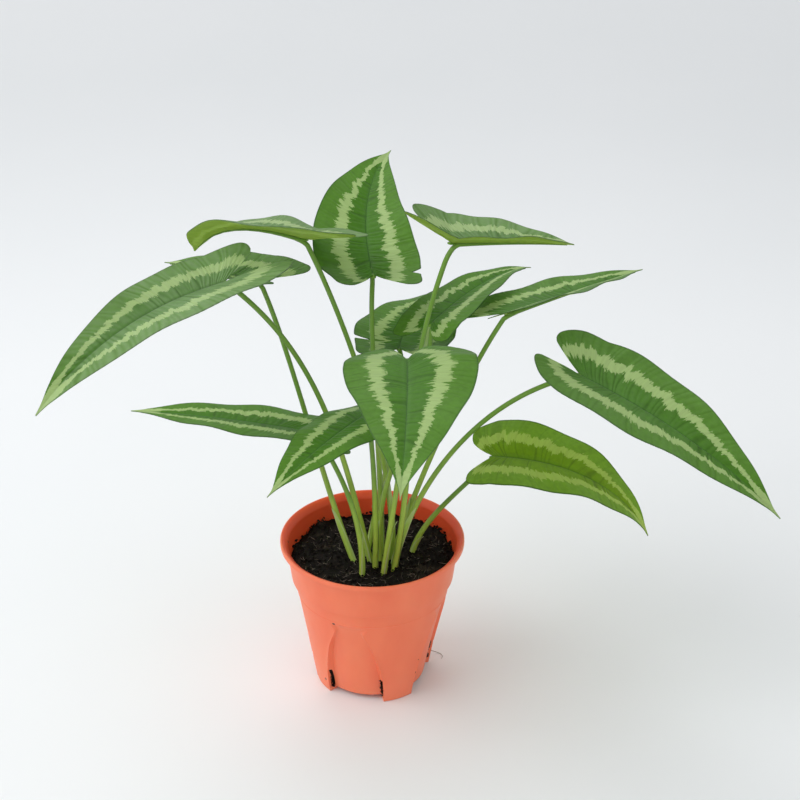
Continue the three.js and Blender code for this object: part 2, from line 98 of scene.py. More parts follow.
class StageSettings(bpy.types.PropertyGroup):
    """The paper sweep, the lights and the camera."""
    paper: colour("Paper", "Colour of the paper sweep", "#eef0f2")
    key_watts: bpy.props.FloatProperty(
        name="Key light", description="Power of the soft light at the upper left", default=34.0,
        unit="POWER")
    back_watts: bpy.props.FloatProperty(
        name="Back light", description="Power of the soft light behind and above", default=1.2,
        unit="POWER")
    fill_watts: bpy.props.FloatProperty(
        name="Fill light", description="Power of the weak light at the right", default=4.0,
        unit="POWER")
    sky: share("Room light", "Strength of the light that comes from all round", 0.74)
    lens: bpy.props.FloatProperty(
        name="Lens", description="Focal length of the camera on a 36 mm sensor", default=90.0,
        unit="CAMERA")
    tilt: bpy.props.FloatProperty(
        name="Tilt", description="How far the camera looks down", default=math.radians(28.33),
        subtype="ANGLE")


class PotSettings(bpy.types.PropertyGroup):
    """The moulded pot."""
    height: length("Height", "Height of the pot", 113.8)
    lip_radius: length("Lip radius", "Outer radius of the lip", 65)
    collar_top: length("Collar top", "Radius of the collar under the lip", 60.7)
    collar_foot: length("Collar foot", "Radius at the foot of the collar", 57.4)
    collar_level: length("Collar level", "Height of the foot of the collar", 84)
    body_top: length("Body top", "Radius of the body under the collar", 55.3)
    body_foot: length("Body foot", "Radius of the body at the ground", 41)
    wall: length("Wall", "Thickness of the wall", 1.2)
    floor: length("Floor", "Thickness of the floor", 2)
    recess_height: length("Recess height", "Height of the arched recesses", 71)
    recess_depth: length("Recess depth", "Depth of the arched recesses at the ground", 4.5)
    recess_lift: length("Recess lift", "Gap between a recess and the ground", 4)
    slot_width: length("Slot width", "Width of the drain slots", 1.3)
    slot_top: length("Slot top", "Height of the upper end of the drain slots", 21)
    plastic: colour("Plastic", "Colour of the pot", "#ff8c64")
    plastic_dark: colour("Plastic in shade", "Colour where the plastic is denser", "#f06e48")
    # Painted shade: the inner face's deeper red stands in for the shade and the light bounced
    # inside the pot.
    plastic_inside: colour("Plastic inside", "Colour of the wall's inner face", "#f75a31")


class SoilSettings(bpy.types.PropertyGroup):
    """The potting mix."""
    level: length("Level", "Height of the soil", 97)
    relief: length("Relief", "Height of the crumbs", 2.5)
    crumbs: bpy.props.IntProperty(
        name="Crumbs", description="How many loose crumbs lie on the soil", default=2700)
    fibres: bpy.props.IntProperty(
        name="Fibres", description="How many coir fibres lie on the soil", default=320)
    peat: colour("Peat", "Colour of the wet peat", "#16120f")
    peat_dry: colour("Dry peat", "Colour of the dry crumbs", "#453b31")
    fibre: colour("Fibre", "Colour of the coir fibres", "#b5aa9c")


class LeafSettings(bpy.types.PropertyGroup):
    """The blades."""
    thickness: length("Blade thickness", "Thickness of a blade", 0.55)
    vein_spacing: length("Vein spacing", "Gap between the side veins at the margin", 5.2)
    vein_depth: length("Vein depth", "How deep the side veins are sunk in the upper side", 0.36)
    band_place: share("Band place", "Where the pale band runs, from midrib to margin", 0.5)
    band_width: share("Band width", "Half the width of the pale band over the lobes", 0.135)
    deep: colour("Deep green", "Colour between midrib and band", "#4b8015")
    margin: colour("Margin green", "Colour between band and margin", "#5b8c29")
    band: colour("Band", "Colour of the pale bands", "#b1ca88")
    edge: colour("Edge", "Colour of the margin's rim", "#3c6428")
    underside: colour("Underside", "Colour of the underside", "#c8e068")


class PetioleSettings(bpy.types.PropertyGroup):
    """The leaf stalks."""
    foot_radius: length("Foot radius", "Radius of a stalk at the soil", 2.15)
    top_radius: length("Top radius", "Radius of a stalk under its blade", 1.7)
    stalk: colour("Stalk", "Colour of the upper part of a stalk", "#6d9634")
    stalk_foot: colour("Stalk foot", "Colour of a stalk near the soil", "#b4d056")
    sheath: colour("Sheath", "Colour of the dry rim of the sheaths", "#c3d2a0")


def leaf(seat, heading, pitch, droop, sweep, roll, twist, long, half_width, lobe, fold, cup,
         lobe_lift, lobe_spread, fullness, lobe_round, lopsided, foot, rise, reach, lobe_skew=0,
         sheath=0.26, nick=None, young=False, bloom=0):
    """One leaf's shape, with lengths in millimetres and angles in degrees. The stalk runs from
    its foot, pulled towards rise and then reach, to the seat. There the midrib starts at its
    heading and pitch, turns aside by the sweep and down by the droop on its way to the tip, and
    the blade leans by the roll and then the twist. Its left and right halves each have a fold, and
    the cup bends them down again. A nick has a side, a place, a width and a depth. The sheath is
    a share of the stalk, and the painted sheen says how much grey sheen is painted on the blade
    where it faces up."""
    return dict(locals())


# The leaves stand in the order of the solids, which gives each one its own waves.
LEAVES = {
    "leaf_left_long": leaf(
        (-94, -22, 322), 230, 7, 40, 3, -4, -14, 174, 30, 40, (18, 19), 2, 11,
        1.05, 0.85, 1.15, 0.15, (-1, -8), (-20, -4, 190), (-35, -10, 267), bloom=1),
    "leaf_left_back": leaf(
        (-78, 59, 286), 159, 2, 4, -2, 2, 5, 74, 27, 26, (19, 19), 6, 5,
        1.05, 1, 0.75, -0.05, (-13, -6), (-35, 19, 145), (-58, 56, 238), lobe_skew=-0.3,
        bloom=0.4),
    "leaf_left_top": leaf(
        (-45, 34, 328), 165, 10, 66, -25, 8, -12, 98, 44, 42, (29, 1), 12, 12,
        0.85, 0.8, 0.75, 0.1, (13, -5), (21, 5, 176), (-28, 26, 297), bloom=1),
    "leaf_left_low": leaf(
        (-39, -3, 200), 163, 1, 10, -3, 11, -13, 140, 32, 35, (12, 7), 13, -12,
        1, 0.95, 0.9, 0, (-7, -25), (-5, -17, 142), (-24, -9, 177)),
    "leaf_top": leaf(
        (1, 56, 291), 102, 20, 18, -33, 5, 3, 156, 38, 34, (15, 16), 2, 24,
        1.3, 1.05, 0.6, 0.1, (6, 1), (8, 16, 160), (-3, 18, 260),
        nick=(-1, 0.125, 0.05, 0.2)),
    "leaf_right_top": leaf(
        (54, 11, 335), 7, -2, 8, 5, 3, -5, 84, 30, 37, (17, 36), 9, 31,
        0.8, 0.9, 1, 0, (15, -19), (33, -10, 196), (18, -13, 244), lobe_skew=-0.15,
        bloom=1),
    "leaf_back_inner": leaf(
        (41, 40, 262), 53, 12, 31, -2, -11, 2, 123, 27, 19, (14, 14), 12, -16,
        1.2, 1, 1.2, -0.05, (6, -9), (-5, -6, 160), (42, 1, 221)),
    "leaf_back_low": leaf(
        (19, 71, 227), 84, 3, 22, -26, 4, -34, 137, 38, 42, (14, 21), 1, 13,
        1.25, 1.2, 0.75, -0.1, (-4, 2), (4, 17, 142), (28, 45, 203),
        nick=(1, 0.215, 0.035, 0.44)),
    "leaf_right_back": leaf(
        (94, 42, 269), 35, 1, 5, 4, -17, 11, 127, 37, 31, (10, 18), 7, 0,
        0.95, 1, 0.75, 0, (15, 1), (28, 4, 151), (70, 26, 242), bloom=0.2),
    "leaf_right_large": leaf(
        (141, -3, 244), -29, -15, 25, 0, -1, 19, 166, 43, 32, (17, 17), 13, 10,
        0.75, 1.05, 0.75, 0, (15, -12), (26, -4, 150), (68, 5, 223), bloom=0.25),
    "leaf_right_low": leaf(
        (85, 11, 173), -7, 0, 66, -2, 4, 7, 132, 39, 19, (13, 10), 10, -19,
        1.15, 1, 0.95, 0, (28, 5), (35, 12, 123), (65, 11, 147), young=True),
    "leaf_front": leaf(
        (24, -60, 285), 271, 0, 25, -6, 3, -13, 139, 43, 31, (10, 9), 20, -15,
        0.55, 1.15, 0.8, 0.05, (8, -22), (16, -20, 164), (31, -26, 249), bloom=0.12),
    "leaf_front_small": leaf(
        (-2, -56, 244), 239, 4, 22, -5, 12, -11, 111, 34, 32, (10, 5), 19, -11,
        1, 1.15, 0.9, 0, (2, -16), (4, -14, 153), (0, -28, 221)),
}


def mix(a, b, amount):
    """The value that lies so far on the way from a to b."""
    return a + (b - a) * amount


def ease(value, low, high):
    """Nought below low, one above high, and a smooth way between."""
    t = min(max((value - low) / (high - low), 0), 1)
    return t * t * (3 - 2 * t)


def finish_piece(bm, name, materials, slot, node=None, *, sharp):
    """Makes an object of bm at the origin, in metres, parents it to the root body and hides the
    solid that it stands for, if one is named. Edges are sharp from that many degrees on."""
    bmesh.ops.scale(bm, vec=(MM, MM, MM), verts=bm.verts[:])
    mesh = bpy.data.meshes.new(name)
    bm.to_mesh(mesh)
    bm.free()
    mesh.shade_smooth()
    mesh.set_sharp_from_angle(angle=math.radians(sharp))
    piece = bpy.data.objects.new(name, mesh)
    bpy.context.scene.collection.objects.link(piece)
    for material in materials:
        mesh.materials.append(material)
    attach(piece, "root")
    if node:
        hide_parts(node)
    return piece


def add(tree, kind, feeds=None, **settings):
    """Adds a node to tree, sets its settings, and sets or joins each input that feeds names."""
    node = tree.nodes.new(kind)
    for name, value in settings.items():
        setattr(node, name, value)
    for name, value in (feeds or {}).items():
        if isinstance(value, bpy.types.NodeSocket):
            tree.links.new(value, node.inputs[name])
        else:
            node.inputs[name].default_value = value
    return node


def new_material(name):
    """An empty material and its node tree."""
    material = bpy.data.materials.new(name)
    material.use_nodes = True
    material.node_tree.nodes.clear()
    return material, material.node_tree


# Wet plant tissue bends light a little more than water does.
LIVING_LEAF_IOR = 1.42
# How much of a blade's look is light that comes through it, on its upper side and underneath.
LIGHT_THROUGH_UPPER = 0.36
LIGHT_THROUGH_UNDERSIDE = 0.55
# How much of the green the strongest painted sheen hides.
BLOOM_STRENGTH = 0.36
# The strips, in mm, that the pale bands step in, and the ribs on each half of a stalk.
BAND_STRIP = 2.6
STALK_RIBS = 14


def moulded_polypropylene(inside):
    """Injection-moulded polypropylene: an even satin skin, a little uneven in its pigment, with
    faint handling marks and specks of peat thrown on it. Its inner face is given a deeper red,
    painted shade and painted bounced light for the inside of the pot."""
    s = bpy.context.scene.plant_pot
    material, t = new_material(
        "polypropylene, injection moulded, " + ("inner face" if inside else "satin"))
    # The inner face takes one deeper red throughout: painted shade and bounced light for the inside
    # of the pot.
    light, dense = (s.plastic_inside,) * 2 if inside else (s.plastic, s.plastic_dark)
    place = add(t, "ShaderNodeTexCoord").outputs["Object"]
    # Pigment swirls some 25 mm across, drawn out up the wall as the melt ran.
    run = add(t, "ShaderNodeMapping", {"Vector": place, "Scale": (40, 40, 14)}).outputs[0]
    swirl = add(t, "ShaderNodeTexNoise", {"Vector": run, "Scale": 1, "Detail": 4}).outputs["Fac"]
    base = add(t, "ShaderNodeMix", {
        0: swirl, 6: tuple(light), 7: tuple(dense)},
        data_type="RGBA").outputs[2]
    # Peat specks up to 1 mm wide, with most of the wall clean.
    grit = add(t, "ShaderNodeTexVoronoi", {"Vector": place, "Scale": 150}, feature="F1")
    near = add(t, "ShaderNodeMath", {0: grit.outputs["Distance"], 1: 0.17}, operation="LESS_THAN")
    chosen = add(t, "ShaderNodeSeparateColor", {0: grit.outputs["Color"]})
    rare = add(t, "ShaderNodeMath", {0: chosen.outputs[0], 1: 0.985}, operation="GREATER_THAN")
    speck = add(t, "ShaderNodeMath", {0: near.outputs[0], 1: rare.outputs[0]}, operation="MULTIPLY")
    speckled = add(t, "ShaderNodeMix", {
        0: speck.outputs[0], 6: base, 7: linear("#3b2419")},
        data_type="RGBA").outputs[2]
    # Water marks and dust near the ground, some 30 mm high.
    height = add(t, "ShaderNodeSeparateXYZ", {0: place}).outputs["Z"]
    low = add(t, "ShaderNodeMapRange", {
        "Value": height, "From Min": 0.0, "From Max": 0.03, "To Min": 0.16, "To Max": 0.0})
    cloud = add(t, "ShaderNodeTexNoise", {"Vector": place, "Scale": 90, "Detail": 6})
    dust = add(t, "ShaderNodeMath", {
        0: low.outputs[0], 1: cloud.outputs["Fac"]}, operation="MULTIPLY")
    dusty = add(t, "ShaderNodeMix", {
        0: dust.outputs[0], 6: speckled, 7: linear("#d9b59f")},
        data_type="RGBA").outputs[2]
    # The skin's orange peel, 1.2 mm across, and finer handling marks.
    peel = add(t, "ShaderNodeTexNoise", {"Vector": place, "Scale": 800, "Detail": 2})
    rough = add(t, "ShaderNodeMapRange", {
        "Value": cloud.outputs["Fac"], "To Min": 0.36, "To Max": 0.54})
    bump = add(t, "ShaderNodeBump", {
        "Height": peel.outputs["Fac"], "Distance": 0.00012, "Strength": 0.35})
    shader = add(t, "ShaderNodeBsdfPrincipled", {
        "Base Color": dusty, "Roughness": rough.outputs[0], "IOR": 1.49,
        "Subsurface Weight": 0.3, "Subsurface Radius": (0.006, 0.0014, 0.0006),
        "Normal": bump.outputs["Normal"]})
    add(t, "ShaderNodeOutputMaterial", {"Surface": shader.outputs[0]})
    return material


def wet_peat():
    """Peat and coir dust, watered: nearly black, with dry crumbs that are browner and rougher."""
    s = bpy.context.scene.plant_soil
    material, t = new_material("peat and coir, loose, damp")
    place = add(t, "ShaderNodeTexCoord").outputs["Object"]
    # Crumbs 2 mm across and dry patches some 12 mm across.
    crumb = add(t, "ShaderNodeTexNoise", {
        "Vector": place, "Scale": 420, "Detail": 8, "Roughness": 0.7})
    patch = add(t, "ShaderNodeTexNoise", {"Vector": place, "Scale": 80, "Detail": 3})
    both = add(t, "ShaderNodeMath", {
        0: crumb.outputs["Fac"], 1: patch.outputs["Fac"]}, operation="MULTIPLY")
    dry = add(t, "ShaderNodeMapRange", {
        "Value": both.outputs[0], "From Min": 0.27, "From Max": 0.42})
    tone = add(t, "ShaderNodeMix", {
        0: dry.outputs[0], 6: tuple(s.peat), 7: tuple(s.peat_dry)},
        data_type="RGBA").outputs[2]
    rough = add(t, "ShaderNodeMapRange", {"Value": both.outputs[0], "To Min": 0.7, "To Max": 1.0})
    bump = add(t, "ShaderNodeBump", {
        "Height": crumb.outputs["Fac"], "Distance": 0.0012, "Strength": 1.0})
    shader = add(t, "ShaderNodeBsdfPrincipled", {
        "Base Color": tone, "Roughness": rough.outputs[0], "Specular IOR Level": 0.15,
        "Normal": bump.outputs["Normal"]})
    add(t, "ShaderNodeOutputMaterial", {"Surface": shader.outputs[0]})
    return material


def coir_fibre():
    """Dry coconut fibre: grey-brown, dull, each one a little lighter or darker."""
    s = bpy.context.scene.plant_soil
    material, t = new_material("coir fibre, dry")
    place = add(t, "ShaderNodeTexCoord").outputs["Object"]
    # Changes about every 15 mm, which is once or twice along a fibre.
    change = add(t, "ShaderNodeTexNoise", {"Vector": place, "Scale": 70, "Detail": 2})
    tone = add(t, "ShaderNodeMix", {
        0: change.outputs["Fac"], 6: linear("#2b231c"), 7: tuple(s.fibre)},
        data_type="RGBA").outputs[2]
    shader = add(t, "ShaderNodeBsdfPrincipled", {"Base Color": tone, "Roughness": 0.85})
    add(t, "ShaderNodeOutputMaterial", {"Surface": shader.outputs[0]})
    return material


def leaf_coordinates(t):
    """Three numbers that a leaf carries at every point: how far along its margin the side vein
    there ends, in mm, with the veins' wandering; how far out on that vein, from 0 to 1; how far
    along the blade, 0 to 1."""
    return [add(t, "ShaderNodeAttribute", attribute_name=name).outputs["Fac"]
            for name in ("vein", "out", "along")]


def side_veins(t, vein):
    """How near each point is to a side vein: up to 1 on it and 0 half-way to the next. Some veins
    are sunk deeper than others."""
    s = bpy.context.scene.plant_leaf
    place = add(t, "ShaderNodeMath", {0: vein, 1: s.vein_spacing / MM}, operation="DIVIDE")
    turn = add(t, "ShaderNodeMath", {0: place.outputs[0], 1: math.tau}, operation="MULTIPLY")
    wave = add(t, "ShaderNodeMath", {0: turn.outputs[0]}, operation="COSINE")
    near = add(t, "ShaderNodeMapRange", {
        "Value": wave.outputs[0], "From Min": -1, "From Max": 1}).outputs[0]
    number = add(t, "ShaderNodeMath", {0: place.outputs[0]}, operation="ROUND").outputs[0]
    own = add(t, "ShaderNodeTexWhiteNoise", {"W": number}, noise_dimensions="1D").outputs["Value"]
    sunk = add(t, "ShaderNodeMapRange", {"Value": own, "To Min": 0.35, "To Max": 1.0}).outputs[0]
    return add(t, "ShaderNodeMath", {0: near, 1: sunk}, operation="MULTIPLY").outputs[0]


def band_mask(t, vein, out, along):
    """1 on the two pale bands, whose edges step from vein to vein and break up into teeth."""
    s = bpy.context.scene.plant_leaf
    # Steps some 5 mm long, and teeth about 1 mm wide, drawn out along the veins.
    spots = add(t, "ShaderNodeCombineXYZ", {0: vein, 1: out}).outputs[0]
    steps = add(t, "ShaderNodeMapping", {"Vector": spots, "Scale": (0.2, 0.8, 1)}).outputs[0]
    teeth = add(t, "ShaderNodeMapping", {"Vector": spots, "Scale": (0.8, 9, 1)}).outputs[0]
    slow = add(t, "ShaderNodeTexNoise", {
        "Vector": steps, "Scale": 1, "Detail": 3, "Roughness": 0.6})
    fast = add(t, "ShaderNodeTexNoise", {
        "Vector": teeth, "Scale": 1, "Detail": 2, "Roughness": 0.7})
    drift = add(t, "ShaderNodeMath", {
        0: slow.outputs["Fac"], 1: 0.5}, operation="SUBTRACT").outputs[0]
    tooth = add(t, "ShaderNodeMath", {
        0: fast.outputs["Fac"], 1: 0.5}, operation="SUBTRACT").outputs[0]
    # Whole strips, each half as wide as the gap between two veins, stand further in or out.
    strip = add(t, "ShaderNodeMath", {0: vein, 1: BAND_STRIP}, operation="DIVIDE").outputs[0]
    own = add(t, "ShaderNodeTexWhiteNoise", {
        "W": add(t, "ShaderNodeMath", {0: strip}, operation="FLOOR").outputs[0]},
        noise_dimensions="1D").outputs["Value"]
    apart_by = add(t, "ShaderNodeMapRange", {
        "Value": own, "To Min": -0.045, "To Max": 0.045}).outputs[0]
    stepped = add(t, "ShaderNodeMath", {0: out, 1: apart_by}, operation="ADD").outputs[0]
    # The band keeps to its place near the base and draws in to the midrib towards the tip.
    centre = add(t, "ShaderNodeMapRange", {
        "Value": along, "From Min": 0.5, "From Max": 1.0,
        "To Min": s.band_place, "To Max": s.band_place - 0.08}).outputs[0]
    shifted = add(t, "ShaderNodeMath", {
        0: drift, 1: 0.4, 2: stepped}, operation="MULTIPLY_ADD").outputs[0]
    off = add(t, "ShaderNodeMath", {0: shifted, 1: centre}, operation="SUBTRACT").outputs[0]
    apart = add(t, "ShaderNodeMath", {0: off}, operation="ABSOLUTE").outputs[0]
    toothed = add(t, "ShaderNodeMath", {
        0: tooth, 1: 0.26, 2: apart}, operation="MULTIPLY_ADD").outputs[0]
    # It is widest over the lobes, narrows somewhat, and fills the drip tip.
    narrow = add(t, "ShaderNodeMapRange", {
        "Value": along, "From Min": 0.1, "From Max": 0.75,
        "To Min": s.band_width, "To Max": s.band_width * 0.8}).outputs[0]
    fill = add(t, "ShaderNodeMapRange", {
        "Value": along, "From Min": 0.86, "From Max": 0.97, "To Max": 0.6}).outputs[0]
    half = add(t, "ShaderNodeMath", {0: narrow, 1: fill}, operation="ADD").outputs[0]
    inside = add(t, "ShaderNodeMath", {0: half, 1: toothed}, operation="SUBTRACT").outputs[0]
    return add(t, "ShaderNodeMapRange", {
        "Value": inside, "From Min": -0.012, "From Max": 0.016}).outputs[0]


def leaf_upper(young):
    """Upper side of a living leaf: a waxy cuticle over green tissue, dark between the midrib and
    the pale bands, puckered between the side veins, with a paler drip tip."""
    s = bpy.context.scene.plant_leaf
    name = "leaf, living, waxy upper side" + (", young" if young else "")
    material, t = new_material(name)
    vein, out, along = leaf_coordinates(t)
    place = add(t, "ShaderNodeTexCoord").outputs["Object"]
    veins = side_veins(t, vein)
    band = band_mask(t, vein, out, along)
    deep = linear("#82a81a") if young else tuple(s.deep)
    margin = linear("#86b034") if young else tuple(s.margin)
    pale = linear("#bcd56c") if young else tuple(s.band)
    zone = add(t, "ShaderNodeMapRange", {
        "Value": out, "From Min": 0.45, "From Max": 0.62}).outputs[0]
    # Patches some 20 mm across where the green is fuller or thinner.
    cloud = add(t, "ShaderNodeTexNoise", {"Vector": place, "Scale": 50, "Detail": 5})
    fuller = add(t, "ShaderNodeMapRange", {
        "Value": cloud.outputs["Fac"], "To Min": 0.84, "To Max": 1.14}).outputs[0]
    # Small islands of tissue some 3 mm across are a little fuller again.
    island = add(t, "ShaderNodeTexNoise", {"Vector": place, "Scale": 330, "Detail": 3})
    mottled = add(t, "ShaderNodeMapRange", {
        "Value": island.outputs["Fac"], "From Min": 0.3, "From Max": 0.7,
        "To Min": 0.91, "To Max": 1.09}).outputs[0]
    depth = add(t, "ShaderNodeMath", {0: fuller, 1: mottled}, operation="MULTIPLY").outputs[0]
    green = add(t, "ShaderNodeMix", {0: zone, 6: deep, 7: margin},
                data_type="RGBA").outputs[2]
    # Side veins are dark lines, most of all in the deep green.
    thin = add(t, "ShaderNodeMapRange", {
        "Value": veins, "From Min": 0.45, "From Max": 0.95},
        interpolation_type="SMOOTHSTEP").outputs[0]
    darker = add(t, "ShaderNodeMapRange", {
        "Value": out, "From Min": 0.3, "From Max": 0.75,
        "To Min": -0.3, "To Max": -0.12}).outputs[0]
    line = add(t, "ShaderNodeMath", {
        0: thin, 1: darker, 2: depth}, operation="MULTIPLY_ADD").outputs[0]
    lined = add(t, "ShaderNodeVectorMath", {0: green, "Scale": line}, operation="SCALE").outputs[0]
    # The pale tissue is itself streaked along the veins, about 1.3 mm to a streak.
    streaks = add(t, "ShaderNodeCombineXYZ", {0: vein, 1: out}).outputs[0]
    streak = add(t, "ShaderNodeTexNoise", {"Vector": streaks, "Scale": 0.75, "Detail": 3})
    wash = add(t, "ShaderNodeMapRange", {
        "Value": streak.outputs["Fac"], "To Min": 0.8, "To Max": 1.16}).outputs[0]
    band_colour = add(t, "ShaderNodeVectorMath", {
        0: pale[:3], "Scale": wash}, operation="SCALE").outputs[0]
    banded = add(t, "ShaderNodeMix", {0: band, 6: lined, 7: band_colour},
                 data_type="RGBA").outputs[2]
    # Painted sheen: the green is made lighter and bluish along the midrib, and painted shade
    # darkens the midrib's fine groove.
    beside = add(t, "ShaderNodeMapRange", {
        "Value": out, "From Min": 0.015, "From Max": 0.13, "To Min": 0.18, "To Max": 0.0},
        interpolation_type="SMOOTHSTEP").outputs[0]
    bluish = add(t, "ShaderNodeMix", {
        0: beside, 6: banded, 7: linear("#639450")}, data_type="RGBA").outputs[2]
    groove = add(t, "ShaderNodeMapRange", {
        "Value": out, "From Min": 0.006, "From Max": 0.022,
        "To Min": 0.4, "To Max": 0.0}).outputs[0]
    grooved = add(t, "ShaderNodeMix", {
        0: groove, 6: bluish, 7: linear("#2f5f2a")}, data_type="RGBA").outputs[2]
    rim = add(t, "ShaderNodeMapRange", {
        "Value": out, "From Min": 0.965, "From Max": 0.99, "To Max": 0.75}).outputs[0]
    rimmed = add(t, "ShaderNodeMix", {
        0: rim, 6: grooved, 7: tuple(s.edge)}, data_type="RGBA").outputs[2]
    # Painted sheen: a greyish veil is painted where some leaves face up, a painted reflection of
    # the light above, thinner in the sunk veins.
    bloom = add(t, "ShaderNodeAttribute", attribute_name="bloom").outputs["Fac"]
    worn = add(t, "ShaderNodeMapRange", {
        "Value": cloud.outputs["Fac"], "From Min": 0.3, "From Max": 0.7,
        "To Min": 0.7, "To Max": 1.1}).outputs[0]
    sunk = add(t, "ShaderNodeMapRange", {"Value": veins, "To Min": 1.0, "To Max": 0.35}).outputs[0]
    most = add(t, "ShaderNodeMath", {0: bloom, 1: BLOOM_STRENGTH}, operation="MULTIPLY").outputs[0]
    kept = add(t, "ShaderNodeMath", {0: worn, 1: sunk}, operation="MULTIPLY").outputs[0]
    veil = add(t, "ShaderNodeMath", {0: most, 1: kept}, operation="MULTIPLY").outputs[0]
    veiled = add(t, "ShaderNodeMix", {
        0: veil, 6: rimmed, 7: linear("#c3d8b2")}, data_type="RGBA").outputs[2]
    # The mesh has the veins' relief. Here they only get crisper, and the cells give a fine grain.
    grain = add(t, "ShaderNodeTexNoise", {"Vector": place, "Scale": 1500, "Detail": 2})
    pucker = add(t, "ShaderNodeBump", {
        "Height": veins, "Distance": 0.0003, "Strength": 0.5}, invert=True)
    bump = add(t, "ShaderNodeBump", {
        "Height": grain.outputs["Fac"], "Distance": 0.00008, "Strength": 0.4,
        "Normal": pucker.outputs["Normal"]})
    rough = add(t, "ShaderNodeMapRange", {
        "Value": cloud.outputs["Fac"], "To Min": 0.38, "To Max": 0.56}).outputs[0]
    shader = add(t, "ShaderNodeBsdfPrincipled", {
        "Base Color": veiled, "Roughness": rough, "IOR": LIVING_LEAF_IOR,
        "Specular IOR Level": 0.28, "Sheen Weight": 0.08, "Sheen Roughness": 0.5,
        "Sheen Tint": linear("#dfe8dc"), "Normal": bump.outputs["Normal"]})
    through = add(t, "ShaderNodeBsdfTranslucent", {"Color": rimmed})
    both = add(t, "ShaderNodeMixShader", {
        0: LIGHT_THROUGH_UPPER, 1: shader.outputs[0], 2: through.outputs[0]})
    add(t, "ShaderNodeOutputMaterial", {"Surface": both.outputs[0]})
    return material


def leaf_underside():
    """Underside of a living leaf: matt and yellow-green, its side veins standing out, with the
    bands showing through faintly."""
    s = bpy.context.scene.plant_leaf
    material, t = new_material("leaf, living, matt underside")
    vein, out, along = leaf_coordinates(t)
    place = add(t, "ShaderNodeTexCoord").outputs["Object"]
    veins = side_veins(t, vein)
    band = band_mask(t, vein, out, along)
    cloud = add(t, "ShaderNodeTexNoise", {"Vector": place, "Scale": 60, "Detail": 4})
    tone = add(t, "ShaderNodeMix", {
        0: cloud.outputs["Fac"], 6: linear("#bedb5a"), 7: tuple(s.underside)},
        data_type="RGBA").outputs[2]
    faint = add(t, "ShaderNodeMath", {0: band, 1: 0.55}, operation="MULTIPLY").outputs[0]
    banded = add(t, "ShaderNodeMix", {
        0: faint, 6: tone, 7: linear("#c9dc84")}, data_type="RGBA").outputs[2]
    thin = add(t, "ShaderNodeMapRange", {
        "Value": veins, "From Min": 0.8, "From Max": 1.0, "To Max": 0.5}).outputs[0]
    lined = add(t, "ShaderNodeMix", {
        0: thin, 6: banded, 7: linear("#a9c86a")}, data_type="RGBA").outputs[2]
    bump = add(t, "ShaderNodeBump", {"Height": veins, "Distance": 0.0004, "Strength": 0.7})
    shader = add(t, "ShaderNodeBsdfPrincipled", {
        "Base Color": lined, "Roughness": 0.62, "IOR": LIVING_LEAF_IOR,
        "Normal": bump.outputs["Normal"]})
    through = add(t, "ShaderNodeBsdfTranslucent", {"Color": lined})
    both = add(t, "ShaderNodeMixShader", {
        0: LIGHT_THROUGH_UNDERSIDE, 1: shader.outputs[0], 2: through.outputs[0]})
    add(t, "ShaderNodeOutputMaterial", {"Surface": both.outputs[0]})
    return material


def leaf_stalk():
    """A fleshy stalk: smooth green skin over pale tissue, with fine ribs along it, paler and
    more yellow towards the soil."""
    s = bpy.context.scene.plant_petiole
    material, t = new_material("leaf stalk, fleshy, smooth skin")
    place = add(t, "ShaderNodeTexCoord").outputs["Object"]
    _, out, along = leaf_coordinates(t)
    cloud = add(t, "ShaderNodeTexNoise", {"Vector": place, "Scale": 60, "Detail": 4})
    uneven = add(t, "ShaderNodeMath", {
        0: cloud.outputs["Fac"], 1: 0.35, 2: along}, operation="MULTIPLY_ADD").outputs[0]
    height = add(t, "ShaderNodeMapRange", {
        "Value": uneven, "From Min": 0.2, "From Max": 0.62}).outputs[0]
    tone = add(t, "ShaderNodeMix", {
        0: height, 6: tuple(s.stalk_foot), 7: tuple(s.stalk)},
        data_type="RGBA").outputs[2]
    # Fine ribs run along the stalk.
    ribs = math.tau * STALK_RIBS
    turn = add(t, "ShaderNodeMath", {0: out, 1: ribs}, operation="MULTIPLY").outputs[0]
    rib = add(t, "ShaderNodeMath", {0: turn}, operation="SINE").outputs[0]
    pale = add(t, "ShaderNodeMapRange", {
        "Value": rib, "From Min": -1, "From Max": 1, "To Min": 0.93, "To Max": 1.06}).outputs[0]
    # Painted shade: the skin is darkened where the eye meets it at a slant and lightened a little
    # where it faces the eye, standing in for the round stalk's shading and highlight.
    slant = add(t, "ShaderNodeLayerWeight", {"Blend": 0.5}).outputs["Facing"]
    shade = add(t, "ShaderNodeMapRange", {
        "Value": slant, "From Min": 0.25, "From Max": 0.95,
        "To Min": 1.1, "To Max": 0.5}).outputs[0]
    both = add(t, "ShaderNodeMath", {0: pale, 1: shade}, operation="MULTIPLY").outputs[0]
    ribbed = add(t, "ShaderNodeVectorMath", {0: tone, "Scale": both}, operation="SCALE").outputs[0]
    bump = add(t, "ShaderNodeBump", {"Height": rib, "Distance": 0.00015, "Strength": 0.5})
    shader = add(t, "ShaderNodeBsdfPrincipled", {
        "Base Color": ribbed, "Roughness": 0.34, "IOR": LIVING_LEAF_IOR, "Subsurface Weight": 0.15,
        "Subsurface Radius": (0.001, 0.002, 0.0006), "Normal": bump.outputs["Normal"]})
    add(t, "ShaderNodeOutputMaterial", {"Surface": shader.outputs[0]})
    return material


